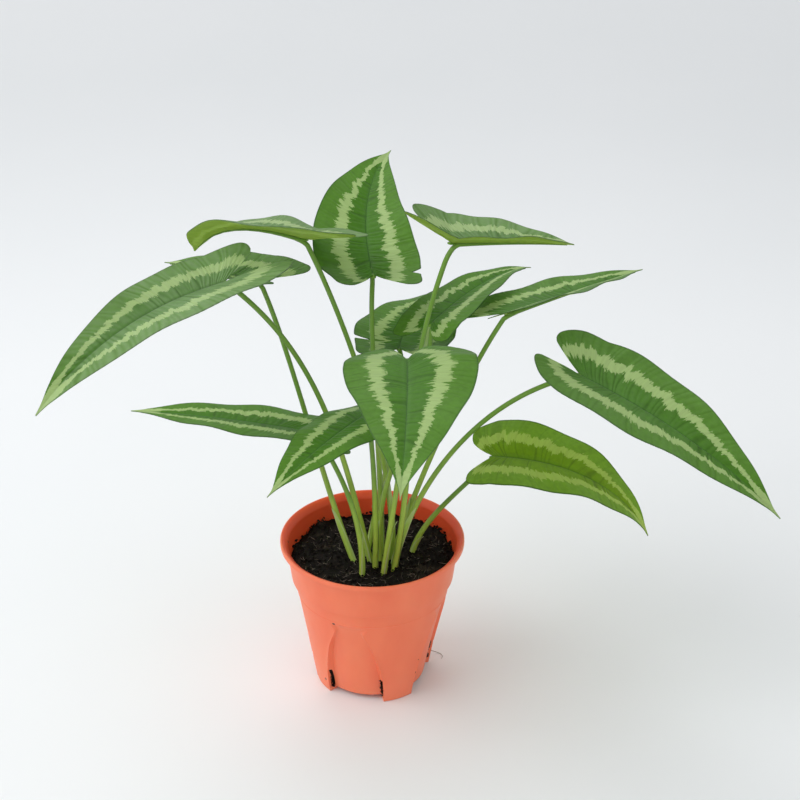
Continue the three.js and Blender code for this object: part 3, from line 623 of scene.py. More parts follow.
def stalk_sheath():
    """The papery sheath round the foot of a stalk: pale green, drying to straw at its rim."""
    s = bpy.context.scene.plant_petiole
    material, t = new_material("leaf sheath, papery")
    place = add(t, "ShaderNodeTexCoord").outputs["Object"]
    _, out, along = leaf_coordinates(t)
    edge = add(t, "ShaderNodeMapRange", {
        "Value": out, "From Min": 0.6, "From Max": 1.0}).outputs[0]
    tip = add(t, "ShaderNodeMapRange", {
        "Value": along, "From Min": 0.7, "From Max": 1.0}).outputs[0]
    dry = add(t, "ShaderNodeMath", {0: edge, 1: tip}, operation="MAXIMUM").outputs[0]
    cloud = add(t, "ShaderNodeTexNoise", {"Vector": place, "Scale": 300, "Detail": 3})
    full = add(t, "ShaderNodeMath", {0: cloud.outputs["Fac"], 1: 0.35}, operation="ADD").outputs[0]
    patchy = add(t, "ShaderNodeMath", {0: dry, 1: full}, operation="MULTIPLY").outputs[0]
    tone = add(t, "ShaderNodeMix", {
        0: patchy, 6: linear("#9fc24e"), 7: tuple(s.sheath)},
        data_type="RGBA").outputs[2]
    shader = add(t, "ShaderNodeBsdfPrincipled", {"Base Color": tone, "Roughness": 0.55})
    add(t, "ShaderNodeOutputMaterial", {"Surface": shader.outputs[0]})
    return material


def paper():
    """Matt photographic paper, with no grain that would show."""
    s = bpy.context.scene.plant_stage
    material, t = new_material("background paper, matt")
    place = add(t, "ShaderNodeTexCoord").outputs["Object"]
    cloud = add(t, "ShaderNodeTexNoise", {"Vector": place, "Scale": 3, "Detail": 2})
    tone = add(t, "ShaderNodeMix", {
        0: cloud.outputs["Fac"], 6: tuple(s.paper), 7: linear("#e9ecee")},
        data_type="RGBA").outputs[2]
    shader = add(t, "ShaderNodeBsdfPrincipled", {
        "Base Color": tone, "Roughness": 0.9, "Specular IOR Level": 0.2})
    add(t, "ShaderNodeOutputMaterial", {"Surface": shader.outputs[0]})
    return material


# The four arched recesses, in degrees round the pot's axis, turned as they are photographed.
QUARTER = 90
RECESS_TURN = -108.5
RECESS_HALF_ANGLE = 28
RECESS_EDGE_ANGLE = 2.4
ARCH_TOP_HALF_ANGLE = 8
# How the arch's sides close in: the first power works on the height, the second on the width.
ARCH_POWERS = 1.6, 0.6
# The wall over a recess comes out to a ledge, this many mm deep and ending this sharply.
LEDGE_DEPTH = 1.3
LEDGE_POWER = 40
# The bead stands proud by a share of the recess's depth, from this part of the edge on.
BEAD = 0.05
BEAD_START = 0.7
# Under the pot, in mm: a hub that stands on the ground, and where the four spokes leave it.
HUB_RADIUS = 14
SPOKE_START_RADIUS = 18
# Columns of faces in each quarter. Over the recesses, between two heights in mm, they even out.
PANEL_COLUMNS = 10
EDGE_COLUMNS = 6
FOOT_COLUMNS = 12
QUARTER_COLUMNS = PANEL_COLUMNS + 2 * EDGE_COLUMNS + FOOT_COLUMNS
EVEN_FROM, EVEN_TO = 60, 83
# Drain slots lie at this share of a recess's edge and lean by so many degrees. The blocks that
# cut them reach so many mm through the wall, and have ends rounded by so many mm.
SLOT_ON_EDGE = 0.4
SLOT_LEAN = 4
SLOT_REACH = 9
SLOT_ROUNDING = 0.5
# The pot's edges are sharp from this many degrees on.
POT_SHARP = 32


def body_radius(z):
    """The radius of the pot's tapered body at height z."""
    s = bpy.context.scene.plant_pot
    return mix(s.body_foot, s.body_top, z * MM / s.collar_level) / MM


def recess_half_angle(z):
    """Half the angle that a recess takes of the pot's round at height z."""
    top = bpy.context.scene.plant_pot.recess_height / MM
    upwards, inwards = ARCH_POWERS
    arch = RECESS_HALF_ANGLE * (1 - min(z / top, 1) ** upwards) ** inwards
    return max(arch, ARCH_TOP_HALF_ANGLE)


def recess_depth(z):
    """How deep a recess is at height z."""
    s = bpy.context.scene.plant_pot
    part = min(z * MM / s.recess_height, 1)
    ledge = LEDGE_DEPTH * (part ** 2 - part ** LEDGE_POWER)
    return s.recess_depth / MM * (1 - part ** 2) + ledge


def column_place(order, z, widen):
    """The angle of a column of the pot at height z, and how far it is pressed in, 0 to 1. A fine
    bead stands a little proud along the edge of each recess."""
    quarter, place = divmod(order, QUARTER_COLUMNS)
    half = recess_half_angle(z) + widen
    edge = half + RECESS_EDGE_ANGLE
    if place <= PANEL_COLUMNS:
        shaped = mix(-half, half, place / PANEL_COLUMNS)
        pressed = 1.0
    elif place < PANEL_COLUMNS + EDGE_COLUMNS:
        step = (place - PANEL_COLUMNS) / EDGE_COLUMNS
        shaped = mix(half, edge, step)
        pressed = 1 - ease(step, 0, BEAD_START) * (1 + BEAD)
    elif place <= PANEL_COLUMNS + EDGE_COLUMNS + FOOT_COLUMNS:
        step = (place - PANEL_COLUMNS - EDGE_COLUMNS) / FOOT_COLUMNS
        shaped = mix(edge, QUARTER - edge, step)
        pressed = 0.0
    else:
        step = (place - PANEL_COLUMNS - EDGE_COLUMNS - FOOT_COLUMNS) / EDGE_COLUMNS
        shaped = mix(QUARTER - edge, QUARTER - half, step)
        pressed = 1 - ease(1 - step, 0, BEAD_START) * (1 + BEAD) if step else 0.0
    even = (place - PANEL_COLUMNS / 2) * QUARTER / QUARTER_COLUMNS
    spread = ease(z, EVEN_FROM, EVEN_TO)
    return RECESS_TURN + quarter * QUARTER + mix(shaped, even, spread), pressed


def spun_wall(profile):
    """Spins a profile once round the upright axis, then presses the recesses into it. A row has a
    radius, a height, how far it lies inside the pot's face, or None where no recess reaches it,
    the height that a recess lifts it to, and how many degrees wider the recess is there. Returns
    the mesh, closed at its poles."""
    bm = bmesh.new()
    row = bm.verts.layers.int.new("row")
    start = [bm.verts.new((radius, 0, z)) for radius, z, *_ in profile]
    for order, vert in enumerate(start):
        vert[row] = order
    edges = [bm.edges.new(pair) for pair in zip(start, start[1:])]
    columns = 4 * QUARTER_COLUMNS
    bmesh.ops.spin(
        bm, geom=start + edges, cent=(0, 0, 0), axis=(0, 0, 1), dvec=(0, 0, 0),
        angle=math.tau, steps=columns, use_merge=True, use_normal_flip=False, use_duplicate=False)
    for vert in bm.verts:
        radius, z, inset, lift, widen = profile[vert[row]]
        order = round(math.atan2(vert.co.y, vert.co.x) / math.tau * columns) % columns
        angle, pressed = column_place(order, z, widen)
        if inset is not None:
            wall = body_radius(z) - inset
            inward = min(max((radius - SPOKE_START_RADIUS) / (wall - SPOKE_START_RADIUS), 0), 1)
            vert.co.x = radius - recess_depth(z) * pressed * inward
            if radius >= SPOKE_START_RADIUS:
                vert.co.z = mix(z, max(z, lift), max(pressed, 0))
        else:
            vert.co.x = radius
        vert.co.y = 0
        vert.co = Matrix.Rotation(math.radians(angle), 3, "Z") @ vert.co
    bmesh.ops.remove_doubles(bm, verts=bm.verts[:], dist=1e-4)
    bmesh.ops.recalc_face_normals(bm, faces=bm.faces[:])
    return bm


def pot_profile():
    """The pot's section from the middle of its foot, up its outside, over the lip and down."""
    s = bpy.context.scene.plant_pot
    height, lip, wall, floor = (v / MM for v in (s.height, s.lip_radius, s.wall, s.floor))
    collar, collar_foot, level = (v / MM for v in (s.collar_top, s.collar_foot, s.collar_level))
    lift = s.recess_lift / MM
    outside = [(0, 0), (HUB_RADIUS, 0), (SPOKE_START_RADIUS, 0), (26, 0), (34, 0),
               (body_radius(0) - 1, 0)]
    rows = [(r, z, 0, lift, 0) for r, z in outside]
    heights = [0.25, 1, 2.5, 4, 6, 9, 13, 18, 23, 28, 33, 38, 43, 48, 52, 56, 59.5, 62.5, 65, 67,
               68.6, 69.8, 70.6, 71.2, 72]
    rows += [(body_radius(z), z, 0, lift, 0) for z in heights]
    # The line that the mould leaves round the body stands 0.2 mm proud.
    rows += [(body_radius(z) + proud, z, None, 0, 0) for z, proud in (
        (72.3, 0), (72.6, 0.22), (73.0, 0.22), (73.3, 0), (77, 0), (level - 1.6, 0))]
    rim = [(collar_foot - 0.9, level - 0.7), (collar_foot - 0.15, level - 0.15),
           (collar_foot + 0.05, level + 0.6), (mix(collar_foot, collar, 0.35), 93),
           (mix(collar_foot, collar, 0.7), 101.5), (collar - 0.1, height - 5.6),
           (collar + 0.3, height - 4.6), (collar + 1.2, height - 4.35),
           (lip - 0.9, height - 4.1), (lip - 0.25, height - 3.8), (lip - 0.05, height - 3.2),
           (lip, height - 2), (lip - 0.05, height - 0.9), (lip - 0.25, height - 0.3),
           (lip - 0.7, height), (lip - 1.2, height - 0.1), (lip - 2.2, height - 0.6),
           (lip - 3.2, height - 1.3), (lip - 3.8, height - 2.2), (collar - 0.9, height - 3.6),
           (collar - wall - 0.1, height - 5.2), (mix(collar_foot, collar, 0.5) - wall, 97.5),
           (collar_foot - wall, level + 1.2), (body_radius(level - 1) - wall, level - 1)]
    rows += [(r, z, None, 0, 0) for r, z in rim]
    rows += [(body_radius(z) - wall, z, wall, lift, 1) for z in (
        80, 76, 72, 70, 67, 63, 58, 50, 40, 28, 16, 8, 4, floor + 0.3)]
    rows += [(body_radius(floor) - wall - 1, floor, wall, lift + floor, 1)]
    rows += [(r, floor, wall, lift + floor, 1) for r in (
        30, 24, SPOKE_START_RADIUS, HUB_RADIUS, 0)]
    return rows


def slots(middle):
    """For each of the eight drain slots, its side of the recess, -1 or 1, and its turn round the
    pot's axis, measured at the height of its middle."""
    edge = recess_half_angle(middle) + RECESS_EDGE_ANGLE * SLOT_ON_EDGE
    for quarter in range(4):
        for side in (-1, 1):
            angle = math.radians(RECESS_TURN + quarter * QUARTER + side * edge)
            yield side, Matrix.Rotation(angle, 4, "Z")


def slot_cutter():
    """Eight thin blocks that cut the drain slots at the edges of the recesses."""
    s = bpy.context.scene.plant_pot
    foot = s.recess_lift / MM - 1
    top = s.slot_top / MM
    middle = (foot + top) / 2
    radius = body_radius(middle) - s.recess_depth / MM / 2 - s.wall / MM / 2
    bm = bmesh.new()
    for side, turn in slots(middle):
        lean = Matrix.Rotation(math.radians(side * SLOT_LEAN), 4, "X")
        size = Matrix.Diagonal((SLOT_REACH, s.slot_width / MM, top - foot, 1))
        place = turn @ Matrix.Translation((radius, 0, middle)) @ lean @ size
        bmesh.ops.create_cube(bm, size=1, matrix=place)
    level = [e for e in bm.edges if abs((e.verts[0].co - e.verts[1].co).normalized().z) < 0.9]
    bmesh.ops.bevel(
        bm, geom=level, offset=SLOT_ROUNDING, segments=2, profile=0.5, affect="EDGES", material=-1)
    bmesh.ops.scale(bm, vec=(MM, MM, MM), verts=bm.verts[:])
    mesh = bpy.data.meshes.new("slot_cutter")
    bm.to_mesh(mesh)
    bm.free()
    cutter = bpy.data.objects.new("slot_cutter", mesh)
    bpy.context.scene.collection.objects.link(cutter)
    return cutter


def cut(piece, cutter):
    """Takes the cutter's volume out of the piece for good, and removes the cutter."""
    step = piece.modifiers.new("cut", "BOOLEAN")
    step.operation = "DIFFERENCE"
    step.solver = "MANIFOLD"
    step.object = cutter
    evaluated = piece.evaluated_get(bpy.context.evaluated_depsgraph_get())
    mesh = bpy.data.meshes.new_from_object(evaluated)
    piece.modifiers.clear()
    piece.data = mesh
    bpy.data.objects.remove(cutter)
    mesh.shade_smooth()
    mesh.set_sharp_from_angle(angle=math.radians(POT_SHARP))


class PLANT_OT_pot(bpy.types.Operator):
    """Spins the pot's wall, presses its four recesses and cuts its drain slots."""
    bl_idname = "plant.pot"
    bl_label = "Moulded pot"

    def execute(self, context):
        bm = spun_wall(pot_profile())
        skins = [moulded_polypropylene(False), moulded_polypropylene(True)]
        piece = finish_piece(bm, "moulded_pot", skins, "pot", "pot", sharp=POT_SHARP)
        cut(piece, slot_cutter())
        # Faces that look at the axis are the wall's inner face, which takes the deeper red of
        # painted shade.
        for face in piece.data.polygons:
            out = Vector((face.center.x, face.center.y, 0)).normalized()
            face.material_index = 1 if face.normal.dot(out) < -0.3 else 0
        return {"FINISHED"}


# The soil keeps this far from the wall, in mm and, beside a recess, in degrees.
SOIL_GAP = 0.3
SOIL_GAP_ANGLE = 0.7
# How high it domes at the middle and banks up against the wall, in mm.
SOIL_DOME = 1.1
SOIL_BANK = 5
# Where its section marks its edge and its top, which its relief then moves, and how high the edge
# may come to stand, in mm. The top is made of so many rings of faces.
SOIL_EDGE_LEVEL, SOIL_TOP_LEVEL, SOIL_EDGE_LIMIT = 96, 97, 98.5
SOIL_RINGS = 52
# Crumbs in each drain slot, on the wall and round each stalk. The others, and the fibres, lie at
# least so many mm from the middle of a stalk.
SLOT_CRUMBS, WALL_CRUMBS, STALK_CRUMBS = 26, 260, 34
STALK_ROOM = 2.5
# How high over the soil a crumb may cling to the wall, in mm. Most of them are much lower.
WALL_CRUMB_RISE = 2.6
CRUMB_SEED, FIBRE_SEED = 11, 29


def soil_edge_radius():
    """The soil's radius at its top, just inside the wall."""
    s = bpy.context.scene.plant_pot
    level = bpy.context.scene.plant_soil.level
    rise = (level - s.collar_level) / (s.height - 4 * MM - s.collar_level)
    return mix(s.collar_foot, s.collar_top, rise) / MM - s.wall / MM - SOIL_GAP


def soil_height(x, y):
    """The height of the crumbly surface, which domes a little towards the stalks."""
    s = bpy.context.scene.plant_soil
    relief = s.relief / MM
    out = math.hypot(x, y) / soil_edge_radius()
    lumps = noise.fractal(Vector((x / 9, y / 9, 3.1)), 0.9, 2.1, 4)
    fine = noise.fractal(Vector((x / 2.6, y / 2.6, 8.4)), 0.8, 2.0, 3)
    # Here and there the mix is banked up against the wall.
    drift = max(noise.fractal(Vector((x / 17, y / 17, 5.7)), 1, 2, 3), 0)
    bank = SOIL_BANK * ease(out, 0.78, 1) * drift
    dome = SOIL_DOME * (1 - out * out)
    return s.level / MM + dome + bank + relief * (0.7 * lumps + 0.4 * fine)


def soil_profile():
    """The soil's section from the middle of its foot, up along the wall and in over its top."""
    s = bpy.context.scene.plant_pot
    wall, floor, level = s.wall / MM, s.floor / MM, s.collar_level / MM
    inset = wall + SOIL_GAP
    bottom = floor + SOIL_GAP
    lift = s.recess_lift / MM + bottom
    widen = 1 + SOIL_GAP_ANGLE
    rows = [(r, bottom, inset, lift, widen) for r in (
        0, HUB_RADIUS, SPOKE_START_RADIUS, 28, body_radius(bottom) - inset)]
    rows += [(body_radius(z) - inset, z, inset, lift, widen) for z in (
        5, 9, 14, 20, 28, 38, 50, 58, 64, 68, 72, 76)]
    rows += [(body_radius(level - 1.2) - inset, level - 1.2, None, 0, 0)]
    edge = soil_edge_radius()
    rows += [(mix(body_radius(level) - inset, edge, 0.6), 92, None, 0, 0),
             (edge, SOIL_EDGE_LEVEL, None, 0, 0)]
    rows += [(edge * (1 - i / SOIL_RINGS), SOIL_TOP_LEVEL, None, 0, 0)
             for i in range(1, SOIL_RINGS + 1)]
    return rows


class PLANT_OT_soil(bpy.types.Operator):
    """Makes the potting mix with its crumbly top, and the loose crumbs and fibres on it."""
    bl_idname = "plant.soil"
    bl_label = "Potting mix"

    def execute(self, context):
        bm = spun_wall(soil_profile())
        for vert in bm.verts:
            if vert.co.z > SOIL_TOP_LEVEL - 0.5:
                vert.co.z = soil_height(vert.co.x, vert.co.y)
            elif vert.co.z > SOIL_EDGE_LEVEL - 0.5:
                vert.co.z = min(soil_height(vert.co.x, vert.co.y), SOIL_EDGE_LIMIT)
        peat = wet_peat()
        finish_piece(bm, "potting_mix", [peat], "soil", "soil", sharp=80)
        scatter_crumbs(peat)
        scatter_fibres()
        return {"FINISHED"}


def soil_spots(count, seed, clear):
    """Places on the soil that keep clear of the stalks and of the wall, and the draws' source."""
    chance = random.Random(seed)
    feet = [Vector(leaf["foot"]) for leaf in LEAVES.values()]
    spots = []
    while len(spots) < count:
        radius = (soil_edge_radius() - clear) * math.sqrt(chance.random())
        angle = chance.random() * math.tau
        spot = Vector((radius * math.cos(angle), radius * math.sin(angle)))
        if min((spot - foot).length for foot in feet) > STALK_ROOM:
            spots.append(spot)
    return spots, chance


def slot_spots(chance):
    """Where crumbs fill the drain slots and stick out of them a little."""
    s = bpy.context.scene.plant_pot
    foot = s.recess_lift / MM
    top = s.slot_top / MM - 0.8
    middle = (foot + top) / 2
    spots = []
    for side, turn in slots(middle):
        lean = math.sin(math.radians(side * SLOT_LEAN))
        for _ in range(SLOT_CRUMBS):
            z = mix(foot + 0.5, top, chance.random() ** 1.3)
            radius = body_radius(z) - recess_depth(z) * 0.45 + chance.uniform(-1.2, 0.3)
            across = chance.gauss(0, 0.65) - lean * (z - middle)
            size = mix(0.4, 0.95, chance.random())
            spots.append((turn @ Vector((radius, across, z)), size))
    return spots


def clinging_spots(chance):
    """Where crumbs cling to the wall above the soil, and where they lie against the stalks."""
    spots = []
    edge = soil_edge_radius()
    for _ in range(WALL_CRUMBS):
        angle = chance.random() * math.tau
        out = Vector((math.cos(angle), math.sin(angle)))
        up = WALL_CRUMB_RISE * chance.random() ** 2.4
        spots.append((out * (edge - 0.5 + up * 0.11), up, mix(0.25, 1.15, chance.random() ** 2)))
    for leaf in LEAVES.values():
        for _ in range(STALK_CRUMBS):
            angle = chance.random() * math.tau
            away = Vector((math.cos(angle), math.sin(angle))) * chance.uniform(2.4, 3.4)
            spots.append((Vector(leaf["foot"]) + away, chance.uniform(0, 1.5),
                          mix(0.4, 1.1, chance.random() ** 2)))
    return spots


def scatter_crumbs(peat):
    """Loose crumbs of peat and bark, most of them under 1 mm and a few up to 5 mm long, on the
    soil, the wall and the stalks, and in the drain slots."""
    settings = bpy.context.scene.plant_soil
    spots, chance = soil_spots(settings.crumbs, CRUMB_SEED, 0.8)
    placed = [(spot, 0, mix(0.3, 1.5, chance.random() ** 4)) for spot in spots]
    placed += clinging_spots(chance)
    lying = [(Vector((spot.x, spot.y, soil_height(spot.x, spot.y) + size * 0.25 + up)), size)
             for spot, up, size in placed]
    # Unless it is given a seed, vector noise starts from the clock.
    noise.seed_set(CRUMB_SEED)
    bm = bmesh.new()
    for place, size in lying + slot_spots(chance):
        turn = Quaternion([chance.gauss(0, 1) for _ in range(4)]).normalized().to_matrix().to_4x4()
        shape = Matrix.Diagonal((size * mix(0.8, 1.7, chance.random()), size, size * 0.7, 1))
        made = bmesh.ops.create_icosphere(
            bm, subdivisions=1, radius=1, matrix=Matrix.Translation(place) @ turn @ shape)
        for vert in made["verts"]:
            vert.co += 0.22 * size * noise.noise_vector(vert.co * 1.7 / size)
    finish_piece(bm, "soil_crumbs", [peat], "soil", sharp=25)


def rod(bm, points, radii, sides):
    """A round rod through points, closed at both ends: a circle extruded from one to the next."""
    out, along = (bm.verts.layers.float.get(name) for name in ("out", "along"))
    ring = bmesh.ops.create_circle(bm, cap_ends=False, segments=sides, radius=1)["verts"]
    edges = list(dict.fromkeys(e for v in ring for e in v.link_edges))
    bmesh.ops.contextual_create(bm, geom=edges)
    side = Vector((1, 0, 0))
    for order, point in enumerate(points):
        before = points[max(order - 1, 0)]
        after = points[min(order + 1, len(points) - 1)]
        axis = (after - before).normalized()
        side = (side - axis * side.dot(axis)).normalized()
        other = axis.cross(side)
        if order:
            grown = dict.fromkeys(bmesh.ops.extrude_edge_only(bm, edges=edges)["geom"])
            edges = [g for g in grown if isinstance(g, bmesh.types.BMEdge)]
            ring = [next(e.other_vert(v) for e in v.link_edges if e.other_vert(v) in grown)
                    for v in ring]
        for k, vert in enumerate(ring):
            turn = k / sides * math.tau
            vert.co = point + radii[order] * (side * math.cos(turn) + other * math.sin(turn))
            if out:
                vert[out] = abs(k / sides * 2 - 1)
                vert[along] = order / (len(points) - 1)
    bmesh.ops.contextual_create(bm, geom=edges)


def scatter_fibres():
    """Coir fibres 2 to 9 mm long that lie across the crumbs and lift at their ends, and a root."""
    settings = bpy.context.scene.plant_soil
    spots, chance = soil_spots(settings.fibres, FIBRE_SEED, 6)
    bm = bmesh.new()
    for spot in spots:
        size = mix(2, 9, chance.random() ** 2)
        heading = chance.random() * math.tau
        bend = chance.gauss(0, 0.4)
        lift = chance.uniform(-0.2, 1.6) * chance.choice((-1, 1))
        high = soil_height(spot.x, spot.y) + 0.45
        points = []
        for i in range(5):
            part = i / 4 - 0.5
            turn = heading + bend * part
            x = spot.x + size * part * math.cos(turn)
            y = spot.y + size * part * math.sin(turn)
            away = math.hypot(x, y) / (soil_edge_radius() - 1)
            if away > 1:
                x, y = x / away, y / away
            points.append(Vector((x, y, high + lift * part + 1.2 * part * part)))
        thick = mix(0.06, 0.17, chance.random() ** 2)
        rod(bm, points, [thick * r for r in (0.5, 1, 1, 0.9, 0.3)], 4)
    # One fine root has grown out of a drain slot and curls on the ground.
    root = [Vector(p) for p in ((39.5, 17, 5), (43, 18.5, 2.6), (46, 19, 1.2), (49.5, 17.5, 0.6),
                                (51, 14.5, 0.5), (50, 11.5, 0.4))]
    rod(bm, root, (0.3, 0.28, 0.26, 0.24, 0.2, 0.12), 5)
    bmesh.ops.recalc_face_normals(bm, faces=bm.faces[:])
    finish_piece(bm, "coir_fibres", [coir_fibre()], "soil", sharp=80)


# How finely the blades and stalks are cut. Columns crowd towards the midrib by a power, and the
# rows of a blade end a little short of its tip.
BLADE_ROWS = 150
HALF_COLUMNS = 30
COLUMN_CROWDING = 1.25
OUTLINE_STEPS = 400
MIDRIB_STEPS = 40
STALK_STEPS = 44
STALK_SIDES = 16
TIP_END = 0.992
# The outline from the seat to the tip, as shares of the blade's length and of its half width.
MAIN_OUTLINE = [(0.03, 1), (0.16, 0.985), (0.34, 0.87), (0.55, 0.65), (0.74, 0.385), (0.88, 0.145),
                (0.94, 0.045), (1, 0)]
# The lobes' corners are rounded over this share of the margin, by this share of the width.
CORNER_RUN = 0.07
CORNER_DEPTH = 0.22
# The margin's waves on each side, and their height as a share of the half width.
MARGIN_WAVES = 3.4
MARGIN_WAVE_HEIGHT = 0.03
# A midrib droops most of all near its tip: the droop grows with this power of the way there.
DROOP_POWER = 1.4
# The side veins crowd towards the seat, arch towards the tip and wander by up to so many mm. Each
# half and each leaf starts its count of mm elsewhere, so that no two have the same veins.
VEIN_CROWDING = 1.6
VEIN_ARCH = 0.09
VEIN_WANDER = 5.5
OTHER_HALF_RUN = 500
NEXT_LEAF_RUN = 37.3
# The channel that the midrib lies in, in mm. The ridge under it ends at a share of the midrib,
# with so many mm of radius left.
CHANNEL_DEPTH = 0.4
CHANNEL_HALF_WIDTH = 1.1
RIDGE_END = 0.93
RIDGE_END_RADIUS = 0.3
# A stalk starts in the soil, at a height in mm, tapers over the first share of its length, and
# turns into the midrib from the second share on. The knot at the seat reaches so many mm along,
# across and up.
STALK_FOOT_LEVEL = 88
STEM_TAPER_END = 0.6
STALK_TURN_START = 0.955
STALK_TURN_STEPS = 6
KNOT = 2.8, 2.1, 0.8
# A sheath wraps its stalk by so many degrees to each side, and is so many mm thick. The first
# faces one way, in degrees, and each next one is turned on.
SHEATH_WRAP = 88
SHEATH_THICKNESS = 0.18
SHEATH_FACING, SHEATH_NEXT = 200, 47
# What each point of a leaf carries for its materials, and those after the upper side's.
LEAF_LAYERS = ("vein", "out", "along", "bloom")
UNDERSIDE, STALK, SHEATH = 1, 2, 3


def seeded_phases(seed):
    """Where the margin's waves start on either side of a leaf: two steps of the same generator
    that the solids use."""
    state, phases, most = seed, [], 2 ** 32
    for _ in range(2):
        state = (state * 1664525 + 1013904223) % most
        phases.append(state / most * 6.28)
    return phases


class Midrib:
    """The line of a leaf's midrib in space, and the frame that the blade hangs on."""

    def __init__(self, leaf):
        self.leaf = leaf
        step = leaf["long"] / MIDRIB_STEPS / 2
        self.points = [Vector(leaf["seat"])]
        for i in range(1, MIDRIB_STEPS + 1):
            along = self.heading((i - 1) / MIDRIB_STEPS) + self.heading(i / MIDRIB_STEPS)
            self.points.append(self.points[-1] + along * step)

    def heading(self, part):
        """Which way the midrib runs at that share of its length."""
        leaf = self.leaf
        pitch = math.radians(leaf["pitch"] - leaf["droop"] * part ** DROOP_POWER)
        turn = math.radians(leaf["heading"] + leaf["sweep"] * part)
        return Vector((math.cos(pitch) * math.cos(turn), math.cos(pitch) * math.sin(turn),
                       math.sin(pitch)))

    def frame(self, distance):
        """The midrib's point so many mm from the seat, and the blade's left and upward directions
        there. Behind the seat it runs straight on under the lobes."""
        leaf = self.leaf
        part = min(max(distance / leaf["long"], 0), 1)
        place = part * MIDRIB_STEPS
        i = min(int(place), MIDRIB_STEPS - 1)
        point = self.points[i].lerp(self.points[i + 1], place - i)
        tangent = self.heading(part)
        turn = math.radians(leaf["heading"] + leaf["sweep"] * part)
        level = Vector((-math.sin(turn), math.cos(turn), 0))
        roll = math.radians(leaf["roll"] + leaf["twist"] * part)
        left = Quaternion(tangent, roll) @ level
        normal = tangent.cross(left)
        if distance < 0:
            lift = math.radians(leaf["lobe_lift"])
            point += tangent * distance * math.cos(lift) - normal * distance * math.sin(lift)
        return point, left, normal


def smooth_line(points, t):
    """A point on the smooth curve through points, at t from 0 to 1."""
    place = t * (len(points) - 1)
    i = min(int(place), len(points) - 2)
    w = place - i
    p0, p1, p2, p3 = (points[min(max(k, 0), len(points) - 1)] for k in (i - 1, i, i + 1, i + 2))
    return tuple(
        (2 * b - 2 * c + (c - a) / 2 + (d - b) / 2) * w ** 3
        + (-3 * b + 3 * c - (c - a) - (d - b) / 2) * w ** 2 + (c - a) / 2 * w + b
        for a, b, c, d in zip(p0, p1, p2, p3))


class Half:
    """One side of a blade: its outline, laid flat, and how it folds up from the midrib."""

    def __init__(self, leaf, side, phase):
        self.side = side
        self.phase = phase
        self.width = leaf["half_width"] * (1 + side * leaf["lopsided"])
        self.fold = math.radians(leaf["fold"][0 if side > 0 else 1])
        self.bend = math.radians(max(leaf["cup"], 0.1)) / self.width
        lobe = leaf["lobe"] * (1 + side * leaf["lobe_skew"])
        spread, round_ = leaf["lobe_spread"], leaf["lobe_round"]
        flat = [(-lobe, 0.5 * spread), (-0.9 * lobe, 0.5 * spread + 0.24 * round_),
                (-0.5 * lobe, 0.76 + 0.17 * round_)]
        flat += [(x * leaf["long"], y ** leaf["fullness"]) for x, y in MAIN_OUTLINE]
        flat = [(x, y * self.width) for x, y in flat]
        self.samples = [smooth_line(flat, i / OUTLINE_STEPS) for i in range(OUTLINE_STEPS + 1)]
        self.run = [0.0]
        for a, b in zip(self.samples, self.samples[1:]):
            self.run.append(self.run[-1] + math.dist(a, b))

    def margin(self, part):
        """The outline's point at that share of its length, and how many mm it has run."""
        goal = part * self.run[-1]
        low, high = 0, len(self.run) - 1
        while high - low > 1:
            middle = (low + high) // 2
            if self.run[middle] <= goal:
                low = middle
            else:
                high = middle
        w = (goal - self.run[low]) / max(self.run[high] - self.run[low], 1e-9)
        a, b = self.samples[low], self.samples[high]
        return Vector((mix(a[0], b[0], w), mix(a[1], b[1], w))), goal


class Blade:
    """The surface of a blade, in mm, found from a share along the margin and one across."""

    def __init__(self, leaf, seed):
        self.leaf = leaf
        self.midrib = Midrib(leaf)
        phases = seeded_phases(seed)
        self.halves = [Half(leaf, 1, phases[0]), Half(leaf, -1, phases[1])]

    def point(self, u, v):
        """The point at share u of the margin and share v out on the side vein that ends there,
        which is negative on the right half; and how many mm the margin has run."""
        leaf = self.leaf
        half = self.halves[0] if v >= 0 else self.halves[1]
        before = max(1 - u / CORNER_RUN, 0)
        out = abs(v) * (1 - CORNER_DEPTH * (1 - math.sqrt(1 - before ** 2)))
        if leaf["nick"] and leaf["nick"][0] == half.side:
            _, place, width, depth = leaf["nick"]
            out *= 1 - depth * max(0, 1 - abs(u - place) / (width / 2))
        start = Vector((leaf["long"] * u ** VEIN_CROWDING, 0))
        end, run = half.margin(u)
        bow = (start + end) / 2
        bow.x -= VEIN_ARCH * (end - start).length * 2
        flat = start * (1 - out) ** 2 + bow * 2 * out * (1 - out) + end * out ** 2
        point, left, normal = self.midrib.frame(flat.x)
        angle = half.fold - half.bend * flat.y
        across = (math.sin(half.fold) - math.sin(angle)) / half.bend
        wave = leaf["half_width"] * MARGIN_WAVE_HEIGHT * out ** 2 * math.sin(
            MARGIN_WAVES * math.tau * u + half.phase)
        rise = (math.cos(angle) - math.cos(half.fold)) / half.bend + wave * math.sin(math.pi * u)
        rise -= CHANNEL_DEPTH * math.exp(-(flat.y / CHANNEL_HALF_WIDTH) ** 2) * min(1, 4 * (1 - u))
        run += 0 if v >= 0 else OTHER_HALF_RUN
        return point + left * half.side * across + normal * rise, run


